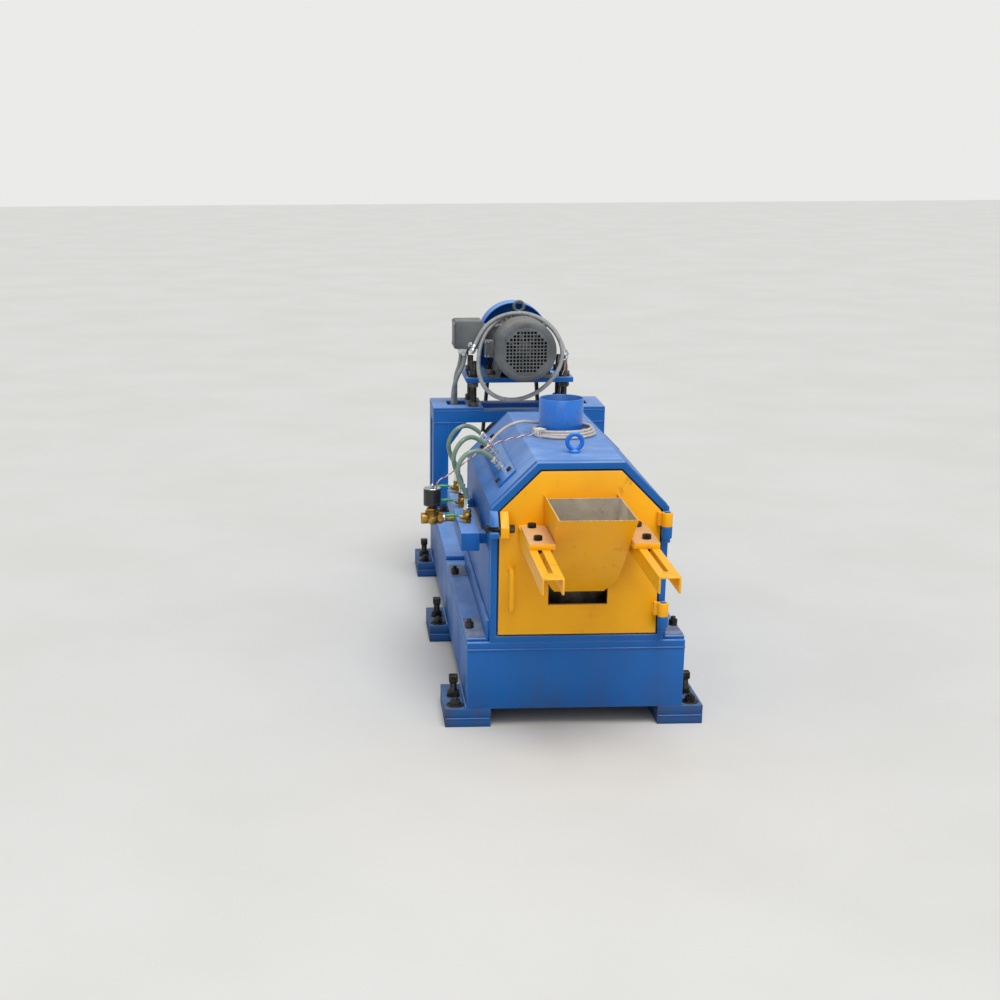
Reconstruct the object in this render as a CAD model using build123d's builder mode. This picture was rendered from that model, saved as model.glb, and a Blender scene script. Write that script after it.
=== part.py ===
from build123d import *
import math
import os

os.makedirs("parts", exist_ok=True)

# Frame of the model: millimetres, +Z up, origin on the floor under the middle of the overall box.
# The spindle axis runs along Y, the door faces -Y and the belt drive is at +Y.
# The pieces are drawn about the plane that halves the bed. The water valve stands out on the
# left, so each piece is placed MIDDLE_X to the right and the origin stays in the middle.
MIDDLE_X = 23.0
# Depths below are measured back from the front face of the bed, which stands at BED_FRONT.
BED_FRONT = -640.0

# Bed
BED_LENGTH = 1750.0
BED_WIDTH = 588.0
BED_TOP = 240.0
BED_TOP_THICKNESS = 20.0
BED_WALL = 12.0
PAD_WIDTH = 58.0
PAD_THICKNESS = 14.0
PAD_START = 865.0
DRIVE_SET_BACK = 270.0
PORTAL_START = BED_LENGTH - DRIVE_SET_BACK

# Feet
FOOT_WIDTH = 124.0
FOOT_LENGTH = 210.0
FOOT_REACH = 58.0
FOOT_THICKNESS = 28.0
SOLE_THICKNESS = 24.0
MIDDLE_FOOT_START = 765.0
LEVEL_SCREW_SET_BACK = 110.0
LEVEL_SCREW_DIAMETER = 20.0
LEVEL_SCREW_TOP = 114.0
LEVEL_HEAD_SIZE = 24.0
LEVEL_HEAD_HEIGHT = 20.0
LEVEL_NUT_SIZE = 30.0
LEVEL_NUT_HEIGHT = 16.0

# Mould cover
COVER_LENGTH = 790.0
COVER_WIDTH = 468.0
COVER_HEIGHT = 487.0
COVER_CHAMFER = 120.0
COVER_SHEET = 6.0
RIM_WIDTH = 17.0
RIM_DEPTH = 34.0
SEAT_WIDTH = 45.0
SEAT_THICKNESS = 8.0
REAR_PLATE_THICKNESS = 10.0
ANGLE_LEG = 60.0
ANGLE_THICKNESS = 8.0
ANGLE_EDGE_CLEARANCE = 0.0
ANGLE_SET_BACK = 12.0
SHAFT_HOLE_CLEARANCE = 10.0

# Exhaust collar and lifting eyes
COLLAR_DIAMETER = 125.0
COLLAR_WALL = 4.0
COLLAR_HEIGHT = 102.0
COLLAR_DEPTH = 422.0
FRONT_EYE_DEPTH = 140.0
REAR_EYE_DEPTH = 691.0
EYE_RING_RADIUS = 20.0
EYE_BAR_RADIUS = 6.0
EYE_FOOT_RADIUS = 15.0
EYE_FOOT_HEIGHT = 6.0

# Door
DOOR_THICKNESS = 12.0
DOOR_GAP = 5.0
SLOT_WIDTH = 158.0
SLOT_BOTTOM = 344.0
SLOT_TOP = 500.0

# Hinges: lower barrels and pins on the cover, upper barrels on the door
HINGE_X = 225.5
HINGE_FORWARD = 20.0
HINGE_RADIUS = 14.0
HINGE_PIN_RADIUS = 7.0
HINGE_PIN_CLEARANCE = 0.05
HINGE_GAP = 0.5
LOWER_BARREL_HEIGHT = 30.0
UPPER_BARREL_HEIGHT = 37.0
HINGE_PIN_TIP = 3.0
HINGE_PIN_HEAD_RADIUS = 10.0
HINGE_PIN_HEAD_HEIGHT = 12.0
HINGE_PLATE = 8.0
HINGE_BLOCK_WIDTH = 14.0
HINGE_LEAF_WIDTH = 10.0
HINGE_LEVELS = (314.0, 559.5)

# Latch: a slotted bracket on the cover, a lug and a bolt on the door, both beveled on top
LATCH_BASE = 537.0
LATCH_FRONT_HEIGHT = 28.0
LATCH_BEVEL = 36.0
LATCH_FORWARD = 40.0
LATCH_LUG_WIDTH = 22.0
LATCH_FORK_OVERHANG = 5.0
LATCH_BOLT_RADIUS = 6.0
LATCH_SLOT_CLEARANCE = 2.0
LATCH_NUT_CLEARANCE = 3.0
LATCH_HEAD_SIZE = 19.0
LATCH_HEAD_HEIGHT = 16.0
LATCH_NUT_HEIGHT = 9.0
LATCH_BOLT_TIP = 3.0
LATCH_BOLT_RISE = 22.0
LATCH_BOLT_FORWARD = 22.0

# Pouring hopper on its two channels
HOPPER_WIDTH = 196.0
HOPPER_WAIST_WIDTH = 188.0
HOPPER_WAIST = 430.0
HOPPER_FLOOR_WIDTH = 132.0
HOPPER_TOP = 645.0
HOPPER_BOTTOM = 385.0
HOPPER_TOP_DEPTH = 302.0
HOPPER_BOTTOM_DEPTH = 15.0
HOPPER_BACK_DEPTH = 50.0
HOPPER_SHEET = 4.0
CHANNEL_LENGTH = 513.0
CHANNEL_WIDTH = 53.0
CHANNEL_HEIGHT = 41.0
CHANNEL_WALL = 5.0
CHANNEL_TOP = 560.0
CHANNEL_X = 136.5
CHANNEL_SLOT_WIDTH = 11.0
CHANNEL_SLOT_NEAR = 235.0
CHANNEL_SLOT_FAR = 464.0
LUG_THICKNESS = 15.0
LUG_NEAR = 55.0
LUG_FAR = 252.0

# Grab handle
HANDLE_X = -181.0
HANDLE_LOW = 338.0
HANDLE_HIGH = 446.0
HANDLE_REACH = 44.0
HANDLE_BAR_RADIUS = 7.0
HANDLE_BEND = 16.0

# Spindle with the mould
SPINDLE_LEVEL = 430.0
SHAFT_RADIUS = 35.0
SHAFT_END_OVERHANG = 42.0
MOULD_RADIUS = 150.0
MOULD_BORE_RADIUS = 115.0
MOULD_START = 95.0
MOULD_LENGTH = 440.0
MOULD_MOUTH_RADIUS = 65.0
MOULD_COVER_THICKNESS = 20.0
FACEPLATE_RADIUS = 165.0
FACEPLATE_THICKNESS = 24.0
HUB_RADIUS = 60.0
HUB_LENGTH = 90.0
HOUSING_START = 830.0
HOUSING_LENGTH = 440.0
HOUSING_WIDTH = 206.0
HOUSING_TOP = 548.0
HOUSING_ROUND = 62.0
HOUSING_FOOT_WIDTH = 300.0
HOUSING_FOOT_THICKNESS = 24.0
HOUSING_CAP_RADIUS = 85.0
HOUSING_CAP_THICKNESS = 14.0
SHAFT_CLEARANCE = 0.05

# Belt drive
BELT_SET_BACK = 264.0
BELT_DEPTH = PORTAL_START + BELT_SET_BACK
BELT_PITCH = 19.0
BELT_WIDTH = 12.0
BELT_THICKNESS = 9.0
BELT_CLEARANCE = 1.0
GROOVE_DEPTH = 12.0
PULLEY_WIDTH = 62.0
SPINDLE_PULLEY_RADIUS = 112.5
MOTOR_PULLEY_RADIUS = 80.0
PULLEY_RIM = 14.0
PULLEY_WEB = 14.0
PULLEY_HUB_WALL = 20.0
BORE_CLEARANCE = 0.1

# Motor frame
PORTAL_OVERHANG = 6.0
PORTAL_DEPTH = 223.0
PORTAL_TOP = 613.0
POST_WIDTH = 53.0
POST_DEPTH = 66.0
BEAM_HEIGHT = 40.0
GUSSET_WIDTH = 62.0
GUSSET_HEIGHT = 88.0
POST_FOOT_THICKNESS = 10.0
POST_FOOT_LIP = 56.0
TOP_PLATE_THICKNESS = 12.0
TOP_PLATE_INNER_EDGE = 125.0
TOP_SLOT_WIDTH = 67.0
TOP_SLOT_START = PORTAL_START + POST_DEPTH
TOP_SLOT_LENGTH = 91.0
RAIL_THICKNESS = 12.0
LOWER_RAIL_HEIGHT = 66.0
CROSS_BEAM_HEIGHT = 56.0
CROSS_BEAM_DEPTH = 60.0

# Motor plate on its four screws
MOTOR_LEVEL = 840.0
MOTOR_SHAFT_HEIGHT = 112.0
MOTOR_PLATE_THICKNESS = 17.0
MOTOR_PLATE_WIDTH = 372.0
MOTOR_PLATE_OVERHANG = 51.0
BELT_WINDOW_WIDTH = 206.0
WINDOW_CLEARANCE = 8.0
SCREW_RADIUS = 11.0
SCREW_EDGE = 28.0
SCREW_INSET = 34.0
SCREW_TOP = 782.0
NUT_SIZE = 32.0
NUT_HEIGHT = 17.0

# Motor
MOTOR_OVERHANG = 184.0
MOTOR_START = PORTAL_START - MOTOR_OVERHANG
COWL_RADIUS = 103.0
COWL_LENGTH = 146.0
COWL_SHEET = 2.5
COWL_ROUND = 16.0
COWL_LAP = 10.0
GRILLE_RADIUS = 79.0
GRILLE_PITCH = 11.5
GRILLE_BAR = 3.0
GRILLE_THICKNESS = 3.0
BODY_LENGTH = 218.0
BODY_CORE_RADIUS = 84.0
FIN_RADIUS = 98.0
FRONT_SHIELD_LENGTH = 14.0
FIN_THICKNESS = 3.0
FIN_COUNT = 36
SHIELD_LENGTH = 30.0
SHIELD_RADIUS = 92.0
MOTOR_SHAFT_RADIUS = 14.0
MOTOR_FOOT_WIDTH = 38.0
MOTOR_FOOT_THICKNESS = 12.0
MOTOR_FOOT_SPREAD = 190.0
MOTOR_FOOT_LENGTH = 170.0
MOTOR_SHAFT_END = BELT_DEPTH + 34.0
FAN_RADIUS = 82.0
FAN_BLADES = 7
FAN_BLADE_THICKNESS = 5.0
FAN_LENGTH = 30.0
FAN_SET_BACK = 60.0
FAN_HUB_LIP = 8.0
TERMINAL_START = PORTAL_START + 6.0
TERMINAL_RAISE = 34.0
TERMINAL_INNER = 130.0
TERMINAL_WIDTH = 95.0
TERMINAL_HEIGHT = 94.0
TERMINAL_LENGTH = 116.0
TERMINAL_ROUND = 6.0
TERMINAL_NECK_HEIGHT = 56.0
TERMINAL_NECK_LENGTH = 90.0
FAN_BOX_SET_BACK = 76.0
FAN_BOX_START = MOTOR_START + FAN_BOX_SET_BACK
FAN_BOX_SIZE = 54.0
MOTOR_EYE_SET_BACK = 264.0
MOTOR_EYE_DEPTH = MOTOR_START + MOTOR_EYE_SET_BACK

# Belt guard
GUARD_RADIUS = 122.0
GUARD_SHEET = 3.0
GUARD_START = BELT_DEPTH - 44.0
GUARD_END = BELT_DEPTH + 46.0

# Cooling water
MANIFOLD_SIZE = 50.0
MANIFOLD_WALL = 4.0
MANIFOLD_STAND_OFF = 20.0
MANIFOLD_START = 115.0
MANIFOLD_LENGTH = 555.0
MANIFOLD_BASE = 465.0
OUTLET_DEPTHS = (235.0, 425.0, 615.0)
SPRAY_PLATE_WIDTH = 62.0
SPRAY_PLATE_THICKNESS = 6.0
SPRAY_PLATE_START = 112.0
SPRAY_PLATE_LENGTH = 546.0
SPRAY_PLATE_SHIFT = 8.0
SPRAY_ROW_SHIFT = 6.0
HOSE_RADIUS = 6.5
NIPPLE_RADIUS = 11.0
NIPPLE_HEIGHT = 22.0
OUTLET_HEIGHT = 44.0
OUTLET_BODY_HEIGHT = 30.0
LEVER_LENGTH = 62.0
LEVER_WIDTH = 13.0
LEVER_THICKNESS = 5.0
LEVER_HEIGHT = 22.0
VALVE_DEPTH = 400.0
VALVE_STAND_OFF = 30.0
VALVE_NECK_RADIUS = 10.0
VALVE_BODY_LENGTH = 64.0
VALVE_BODY_HEIGHT = 38.0
VALVE_BODY_WIDTH = 42.0
VALVE_PORT_RADIUS = 10.0
VALVE_PORT_LENGTH = 20.0
BONNET_RADIUS = 17.0
BONNET_HEIGHT = 19.0
COIL_RADIUS = 25.0
COIL_HEIGHT = 50.0
COIL_CAP_RADIUS = 6.0
COIL_CAP_HEIGHT = 12.0

# Cables
LEAD_RADIUS = 2.5
RING_X = 6.0
RING_FORWARD = 10.0
RING_RADIUS = 85.0
RING_SECTION_WIDTH = 18.0
RING_SECTION_HEIGHT = 25.0
CABLE_RADIUS = 4.4
CONDUIT_RADIUS = 8.0
LOOP_RADIUS = 162.0
LOOP_SECTION = 15.0
LOOP_X = -12.0
LOOP_SET_BACK = 140.0
LOOP_DEPTH = MOTOR_START + LOOP_SET_BACK

SIDES = (-1, 1)


def depth(distance):
    """Y of a point that lies the given distance behind the front face of the bed."""
    return BED_FRONT + distance


def hexagon_points(width, base, top, corner):
    """Corners of a plate with two cut upper corners, seen from the front."""
    half = width / 2
    return [
        (-half, base),
        (half, base),
        (half, top - corner),
        (half - corner, top),
        (-half + corner, top),
        (-half, top - corner),
    ]


def inset_corner(corner, inset):
    """Corner cut of an outline moved inwards by the inset on every side."""
    return corner - inset * (2 - math.sqrt(2))


def front_plane(distance):
    """Plane seen from the front, X right and Z up, at the given depth."""
    return Plane.XZ.offset(-depth(distance))


def save(piece, name):
    piece.part.label = name
    export_step(piece.part.moved(Location((MIDDLE_X, 0, 0))), f"parts/{name}.step")


# Bed: top plate on four walls
foot_top = SOLE_THICKNESS + FOOT_THICKNESS
bed_middle = depth(BED_LENGTH / 2)
wall_top = BED_TOP - BED_TOP_THICKNESS
half_bed = BED_WIDTH / 2

with BuildPart() as bed_top:
    with BuildSketch(Plane.XY.offset(wall_top)):
        with Locations((0, bed_middle)):
            Rectangle(BED_WIDTH, BED_LENGTH)
    extrude(amount=BED_TOP_THICKNESS)
save(bed_top, "bed_top")

with BuildPart() as bed_walls:
    with BuildSketch(Plane.XY.offset(foot_top)):
        with Locations((0, bed_middle)):
            Rectangle(BED_WIDTH, BED_LENGTH)
            Rectangle(BED_WIDTH - 2 * BED_WALL, BED_LENGTH - 2 * BED_WALL, mode=Mode.SUBTRACT)
    extrude(amount=wall_top - foot_top)
save(bed_walls, "bed_walls")

# Feet: six pairs of stacked plates, with a levelling screw through each pair
foot_starts = (0.0, MIDDLE_FOOT_START, BED_LENGTH - FOOT_LENGTH)
foot_x = half_bed + FOOT_REACH - FOOT_WIDTH / 2
foot_centres = [(side * foot_x, depth(start + FOOT_LENGTH / 2)) for side in SIDES for start in foot_starts]

with BuildPart() as sole_plates:
    with BuildSketch(Plane.XY):
        with Locations(*foot_centres):
            Rectangle(FOOT_WIDTH, FOOT_LENGTH)
    extrude(amount=SOLE_THICKNESS)
save(sole_plates, "sole_plates")

with BuildPart() as foot_plates:
    with BuildSketch(Plane.XY.offset(SOLE_THICKNESS)):
        with Locations(*foot_centres):
            Rectangle(FOOT_WIDTH, FOOT_LENGTH)
    extrude(amount=FOOT_THICKNESS)
save(foot_plates, "foot_plates")

screw_x = half_bed + FOOT_REACH / 2
level_spots = [(side * screw_x, depth(start + LEVEL_SCREW_SET_BACK)) for side in SIDES for start in foot_starts]

with BuildPart() as levelling_screws:
    with BuildSketch(Plane.XY.offset(foot_top)):
        with Locations(*level_spots):
            RegularPolygon(LEVEL_NUT_SIZE / 2, 6, major_radius=False)
    extrude(amount=LEVEL_NUT_HEIGHT)
    with BuildSketch(Plane.XY.offset(foot_top)):
        with Locations(*level_spots):
            Circle(LEVEL_SCREW_DIAMETER / 2)
    extrude(amount=LEVEL_SCREW_TOP - foot_top)
    with BuildSketch(Plane.XY.offset(LEVEL_SCREW_TOP - LEVEL_HEAD_HEIGHT)):
        with Locations(*level_spots):
            Rectangle(LEVEL_HEAD_SIZE, LEVEL_HEAD_SIZE)
    extrude(amount=LEVEL_HEAD_HEIGHT)
save(levelling_screws, "levelling_screws")

# Machined pads along both edges of the rear half of the bed
pad_length = BED_LENGTH - PAD_START
pad_top = BED_TOP + PAD_THICKNESS

with BuildPart() as pad_strips:
    with BuildSketch(Plane.XY.offset(BED_TOP)):
        for side in SIDES:
            with Locations((side * (half_bed - PAD_WIDTH / 2), depth(PAD_START + pad_length / 2))):
                Rectangle(PAD_WIDTH, pad_length)
    extrude(amount=PAD_THICKNESS)
save(pad_strips, "pad_strips")

# Mould cover: folded shell, front rim with the door seat, rear plate, foot angles
cover_top = BED_TOP + COVER_HEIGHT
half_cover = COVER_WIDTH / 2
angle_flat = half_bed - half_cover - ANGLE_EDGE_CLEARANCE
shell_length = COVER_LENGTH - RIM_DEPTH - REAR_PLATE_THICKNESS
inner_corner = inset_corner(COVER_CHAMFER, COVER_SHEET)
rim_corner = inset_corner(COVER_CHAMFER, RIM_WIDTH)
seat_corner = inset_corner(COVER_CHAMFER, SEAT_WIDTH)

with BuildPart() as cover_shell:
    with BuildSketch(front_plane(RIM_DEPTH)):
        Polygon(*hexagon_points(COVER_WIDTH, BED_TOP, cover_top, COVER_CHAMFER), align=None)
        Polygon(
            *hexagon_points(COVER_WIDTH - 2 * COVER_SHEET, BED_TOP, cover_top - COVER_SHEET, inner_corner),
            align=None,
            mode=Mode.SUBTRACT,
        )
    extrude(amount=-shell_length)
    with BuildSketch(Plane.XY.offset(cover_top - 2 * COVER_SHEET)):
        with Locations((0, depth(COLLAR_DEPTH))):
            Circle(COLLAR_DIAMETER / 2 - COLLAR_WALL)
    extrude(amount=3 * COVER_SHEET, mode=Mode.SUBTRACT)
save(cover_shell, "cover_shell")

with BuildPart() as cover_rim:
    with BuildSketch(front_plane(0)):
        Polygon(*hexagon_points(COVER_WIDTH, BED_TOP, cover_top, COVER_CHAMFER), align=None)
        Polygon(
            *hexagon_points(COVER_WIDTH - 2 * RIM_WIDTH, BED_TOP + RIM_WIDTH, cover_top - RIM_WIDTH, rim_corner),
            align=None,
            mode=Mode.SUBTRACT,
        )
    extrude(amount=-RIM_DEPTH)
    with BuildSketch(front_plane(DOOR_THICKNESS + DOOR_GAP)):
        Polygon(*hexagon_points(COVER_WIDTH, BED_TOP, cover_top, COVER_CHAMFER), align=None)
        Polygon(
            *hexagon_points(
                COVER_WIDTH - 2 * SEAT_WIDTH, BED_TOP + SEAT_WIDTH, cover_top - SEAT_WIDTH, seat_corner
            ),
            align=None,
            mode=Mode.SUBTRACT,
        )
    extrude(amount=-SEAT_THICKNESS)
save(cover_rim, "cover_rim")

with BuildPart() as cover_rear_plate:
    with BuildSketch(front_plane(COVER_LENGTH - REAR_PLATE_THICKNESS)):
        Polygon(*hexagon_points(COVER_WIDTH, BED_TOP, cover_top, COVER_CHAMFER), align=None)
        with Locations((0, SPINDLE_LEVEL)):
            Circle(SHAFT_RADIUS + SHAFT_HOLE_CLEARANCE, mode=Mode.SUBTRACT)
    extrude(amount=-REAR_PLATE_THICKNESS)
save(cover_rear_plate, "cover_rear_plate")

with BuildPart() as cover_angles:
    with BuildSketch(front_plane(ANGLE_SET_BACK)):
        for side in SIDES:
            with Locations((side * (half_cover + angle_flat / 2), BED_TOP + ANGLE_THICKNESS / 2)):
                Rectangle(angle_flat, ANGLE_THICKNESS)
            with Locations((side * (half_cover + ANGLE_THICKNESS / 2), BED_TOP + ANGLE_LEG / 2)):
                Rectangle(ANGLE_THICKNESS, ANGLE_LEG)
    extrude(amount=-(COVER_LENGTH - 2 * ANGLE_SET_BACK))
save(cover_angles, "cover_angles")

# Exhaust collar welded on the roof, and two lifting eyes
with BuildPart() as exhaust_collar:
    with BuildSketch(Plane.XY.offset(cover_top)):
        with Locations((0, depth(COLLAR_DEPTH))):
            Circle(COLLAR_DIAMETER / 2)
            Circle(COLLAR_DIAMETER / 2 - COLLAR_WALL, mode=Mode.SUBTRACT)
    extrude(amount=COLLAR_HEIGHT)
save(exhaust_collar, "exhaust_collar")

eye_level = cover_top + EYE_FOOT_HEIGHT + EYE_RING_RADIUS + EYE_BAR_RADIUS / 2
with BuildPart() as lifting_eyes:
    for eye_depth in (FRONT_EYE_DEPTH, REAR_EYE_DEPTH):
        with BuildSketch(Plane.XY.offset(cover_top)):
            with Locations((0, depth(eye_depth))):
                Circle(EYE_FOOT_RADIUS)
        extrude(amount=EYE_FOOT_HEIGHT)
        with Locations(Plane(origin=(0, depth(eye_depth), eye_level), x_dir=(1, 0, 0), z_dir=(0, 1, 0))):
            Torus(EYE_RING_RADIUS, EYE_BAR_RADIUS)
save(lifting_eyes, "lifting_eyes")

# Hinges
hinge_y = depth(-HINGE_FORWARD)
lower_barrel_inner = HINGE_PIN_RADIUS + HINGE_PIN_CLEARANCE

with BuildPart() as hinge_lower_halves:
    for level in HINGE_LEVELS:
        with BuildSketch(Plane.XY.offset(level - LOWER_BARREL_HEIGHT)):
            with Locations((HINGE_X, hinge_y)):
                Circle(HINGE_RADIUS)
            with Locations((HINGE_X, depth(-HINGE_FORWARD / 2))):
                Rectangle(HINGE_BLOCK_WIDTH, HINGE_FORWARD)
        extrude(amount=LOWER_BARREL_HEIGHT)
        with BuildSketch(Plane.XY.offset(level - LOWER_BARREL_HEIGHT)):
            with Locations((HINGE_X, hinge_y)):
                Circle(HINGE_PIN_RADIUS)
        extrude(amount=LOWER_BARREL_HEIGHT + HINGE_GAP + UPPER_BARREL_HEIGHT + HINGE_PIN_TIP)
        with BuildSketch(Plane.XY.offset(level - LOWER_BARREL_HEIGHT - HINGE_PIN_HEAD_HEIGHT)):
            with Locations((HINGE_X, hinge_y)):
                Circle(HINGE_PIN_HEAD_RADIUS)
        extrude(amount=HINGE_PIN_HEAD_HEIGHT)
save(hinge_lower_halves, "hinge_lower_halves")

half_door = half_cover - RIM_WIDTH - DOOR_GAP
leaf_inner = half_door - HINGE_LEAF_WIDTH
leaf_reach = HINGE_FORWARD - HINGE_RADIUS + HINGE_PLATE

with BuildPart() as hinge_upper_halves:
    for level in HINGE_LEVELS:
        with BuildSketch(Plane.XY.offset(level + HINGE_GAP)):
            with Locations((HINGE_X, hinge_y)):
                Circle(HINGE_RADIUS)
            with Locations(((leaf_inner + half_door) / 2, depth(-leaf_reach / 2))):
                Rectangle(half_door - leaf_inner, leaf_reach)
            with Locations(((half_door + HINGE_X) / 2, depth(HINGE_PLATE / 2 - leaf_reach))):
                Rectangle(HINGE_X - half_door, HINGE_PLATE)
            with Locations((HINGE_X, hinge_y)):
                Circle(lower_barrel_inner, mode=Mode.SUBTRACT)
        extrude(amount=UPPER_BARREL_HEIGHT)
save(hinge_upper_halves, "hinge_upper_halves")

# Latch
lug_outer = half_door
fork_inner = half_cover - RIM_WIDTH
fork_outer = half_cover + LATCH_FORK_OVERHANG
fork_slot = 2 * (LATCH_BOLT_RADIUS + LATCH_SLOT_CLEARANCE)
bolt_level = LATCH_BASE + LATCH_BOLT_RISE
bevel_foot = LATCH_BASE + LATCH_FRONT_HEIGHT
latch_outline = (
    (depth(0), LATCH_BASE),
    (depth(-LATCH_FORWARD), LATCH_BASE),
    (depth(-LATCH_FORWARD), bevel_foot),
    (depth(LATCH_BEVEL - LATCH_FORWARD), bevel_foot + LATCH_BEVEL),
    (depth(0), bevel_foot + LATCH_BEVEL),
)

with BuildPart() as latch_fork:
    with BuildSketch(Plane.YZ.offset(-fork_outer)):
        Polygon(*latch_outline, align=None)
        with Locations((depth(-LATCH_FORWARD), bolt_level)):
            Rectangle(2 * (LATCH_FORWARD - LATCH_BOLT_FORWARD + fork_slot / 2), fork_slot, mode=Mode.SUBTRACT)
    extrude(amount=fork_outer - fork_inner)
save(latch_fork, "latch_fork")

with BuildPart() as latch_lug:
    with BuildSketch(Plane.YZ.offset(-lug_outer)):
        Polygon(*latch_outline, align=None)
        with Locations((depth(-LATCH_BOLT_FORWARD), bolt_level)):
            Circle(LATCH_BOLT_RADIUS + BORE_CLEARANCE, mode=Mode.SUBTRACT)
    extrude(amount=LATCH_LUG_WIDTH)
save(latch_lug, "latch_lug")

bolt_head_x = -lug_outer + LATCH_LUG_WIDTH
bolt_nut_x = -fork_outer - LATCH_NUT_CLEARANCE
bolt_tip_x = bolt_nut_x - LATCH_NUT_HEIGHT - LATCH_BOLT_TIP
with BuildPart() as latch_bolt:
    with BuildSketch(Plane.YZ.offset(bolt_head_x)):
        with Locations((depth(-LATCH_BOLT_FORWARD), bolt_level)):
            RegularPolygon(LATCH_HEAD_SIZE / 2, 6, major_radius=False)
    extrude(amount=LATCH_HEAD_HEIGHT)
    with BuildSketch(Plane.YZ.offset(bolt_nut_x - LATCH_NUT_HEIGHT)):
        with Locations((depth(-LATCH_BOLT_FORWARD), bolt_level)):
            RegularPolygon(LATCH_HEAD_SIZE / 2, 6, major_radius=False)
    extrude(amount=LATCH_NUT_HEIGHT)
    with BuildSketch(Plane.YZ.offset(bolt_tip_x)):
        with Locations((depth(-LATCH_BOLT_FORWARD), bolt_level)):
            Circle(LATCH_BOLT_RADIUS)
    extrude(amount=bolt_head_x - bolt_tip_x)
save(latch_bolt, "latch_bolt")

# Door plate with the pouring slot
door_inset = RIM_WIDTH + DOOR_GAP
door_base = BED_TOP + door_inset
door_top = cover_top - door_inset
door_corner = inset_corner(COVER_CHAMFER, door_inset)

with BuildPart() as door_plate:
    with BuildSketch(front_plane(0)):
        Polygon(*hexagon_points(2 * half_door, door_base, door_top, door_corner), align=None)
        with Locations((0, (SLOT_BOTTOM + SLOT_TOP) / 2)):
            Rectangle(SLOT_WIDTH, SLOT_TOP - SLOT_BOTTOM, mode=Mode.SUBTRACT)
    extrude(amount=-DOOR_THICKNESS)
save(door_plate, "door_plate")

# Pouring hopper: a sheet box with an open top, a leaning front and back and an outlet into the slot
half_hopper = HOPPER_WIDTH / 2
lean = (HOPPER_TOP_DEPTH - HOPPER_BOTTOM_DEPTH) / (HOPPER_TOP - HOPPER_BOTTOM)
lean_sheet = HOPPER_SHEET * math.sqrt(1 + lean * lean)
inner_floor = HOPPER_BOTTOM + HOPPER_SHEET
inner_floor_depth = HOPPER_BOTTOM_DEPTH + lean * HOPPER_SHEET - lean_sheet
back_wall_foot = SLOT_TOP + HOPPER_SHEET


def hopper_outline(inset):
    """Front view of the hopper, drawn in by the inset on every side but the open top."""
    return [
        (-HOPPER_WIDTH / 2 + inset, HOPPER_TOP),
        (HOPPER_WIDTH / 2 - inset, HOPPER_TOP),
        (HOPPER_WAIST_WIDTH / 2 - inset, HOPPER_WAIST),
        (HOPPER_FLOOR_WIDTH / 2 - inset, HOPPER_BOTTOM + inset),
        (-HOPPER_FLOOR_WIDTH / 2 + inset, HOPPER_BOTTOM + inset),
        (-HOPPER_WAIST_WIDTH / 2 + inset, HOPPER_WAIST),
    ]


with BuildPart() as hopper_space:
    with BuildSketch(front_plane(0)):
        Polygon(*hopper_outline(HOPPER_SHEET), align=None)
    extrude(amount=HOPPER_TOP_DEPTH)
    with BuildSketch(Plane.YZ.offset(-half_hopper)):
        Polygon(
            (depth(0), inner_floor),
            (depth(0), SLOT_TOP),
            (depth(-HOPPER_SHEET), SLOT_TOP),
            (depth(-HOPPER_BACK_DEPTH - HOPPER_SHEET), HOPPER_TOP),
            (depth(-HOPPER_TOP_DEPTH + lean_sheet), HOPPER_TOP),
            (depth(-inner_floor_depth), inner_floor),
            align=None,
        )
    extrude(amount=HOPPER_WIDTH, mode=Mode.INTERSECT)

with BuildPart() as hopper:
    with BuildSketch(front_plane(0)):
        Polygon(*hopper_outline(0), align=None)
    extrude(amount=HOPPER_TOP_DEPTH)
    with BuildSketch(Plane.YZ.offset(-half_hopper)):
        Polygon(
            (depth(0), HOPPER_BOTTOM),
            (depth(0), HOPPER_TOP),
            (depth(-HOPPER_TOP_DEPTH), HOPPER_TOP),
            (depth(-HOPPER_BOTTOM_DEPTH), HOPPER_BOTTOM),
            align=None,
        )
    extrude(amount=HOPPER_WIDTH, mode=Mode.INTERSECT)
    add(hopper_space.part, mode=Mode.SUBTRACT)
    with BuildSketch(Plane.YZ.offset(-half_hopper + HOPPER_SHEET)):
        Polygon(
            (depth(0), back_wall_foot),
            (depth(0), HOPPER_TOP),
            (depth(-HOPPER_BACK_DEPTH), HOPPER_TOP),
            align=None,
        )
    extrude(amount=HOPPER_WIDTH - 2 * HOPPER_SHEET, mode=Mode.SUBTRACT)
save(hopper, "hopper")

# Two slotted channels that stand out from the door and carry the hopper by its lugs
with BuildPart() as door_channels:
    with BuildSketch(front_plane(0)):
        for side in SIDES:
            with Locations((side * CHANNEL_X, CHANNEL_TOP - CHANNEL_HEIGHT / 2)):
                Rectangle(CHANNEL_WIDTH, CHANNEL_HEIGHT)
            with Locations((side * CHANNEL_X, CHANNEL_TOP - CHANNEL_HEIGHT / 2 - CHANNEL_WALL)):
                Rectangle(CHANNEL_WIDTH - 2 * CHANNEL_WALL, CHANNEL_HEIGHT, mode=Mode.SUBTRACT)
    extrude(amount=CHANNEL_LENGTH)
    slot_length = CHANNEL_SLOT_FAR - CHANNEL_SLOT_NEAR
    slot_middle = (CHANNEL_SLOT_FAR + CHANNEL_SLOT_NEAR) / 2
    with BuildSketch(Plane.XY.offset(CHANNEL_TOP)):
        for side in SIDES:
            with Locations((side * CHANNEL_X, depth(-slot_middle))):
                SlotOverall(slot_length, CHANNEL_SLOT_WIDTH, rotation=90)
    extrude(amount=-CHANNEL_WALL, mode=Mode.SUBTRACT)
save(door_channels, "door_channels")

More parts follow.
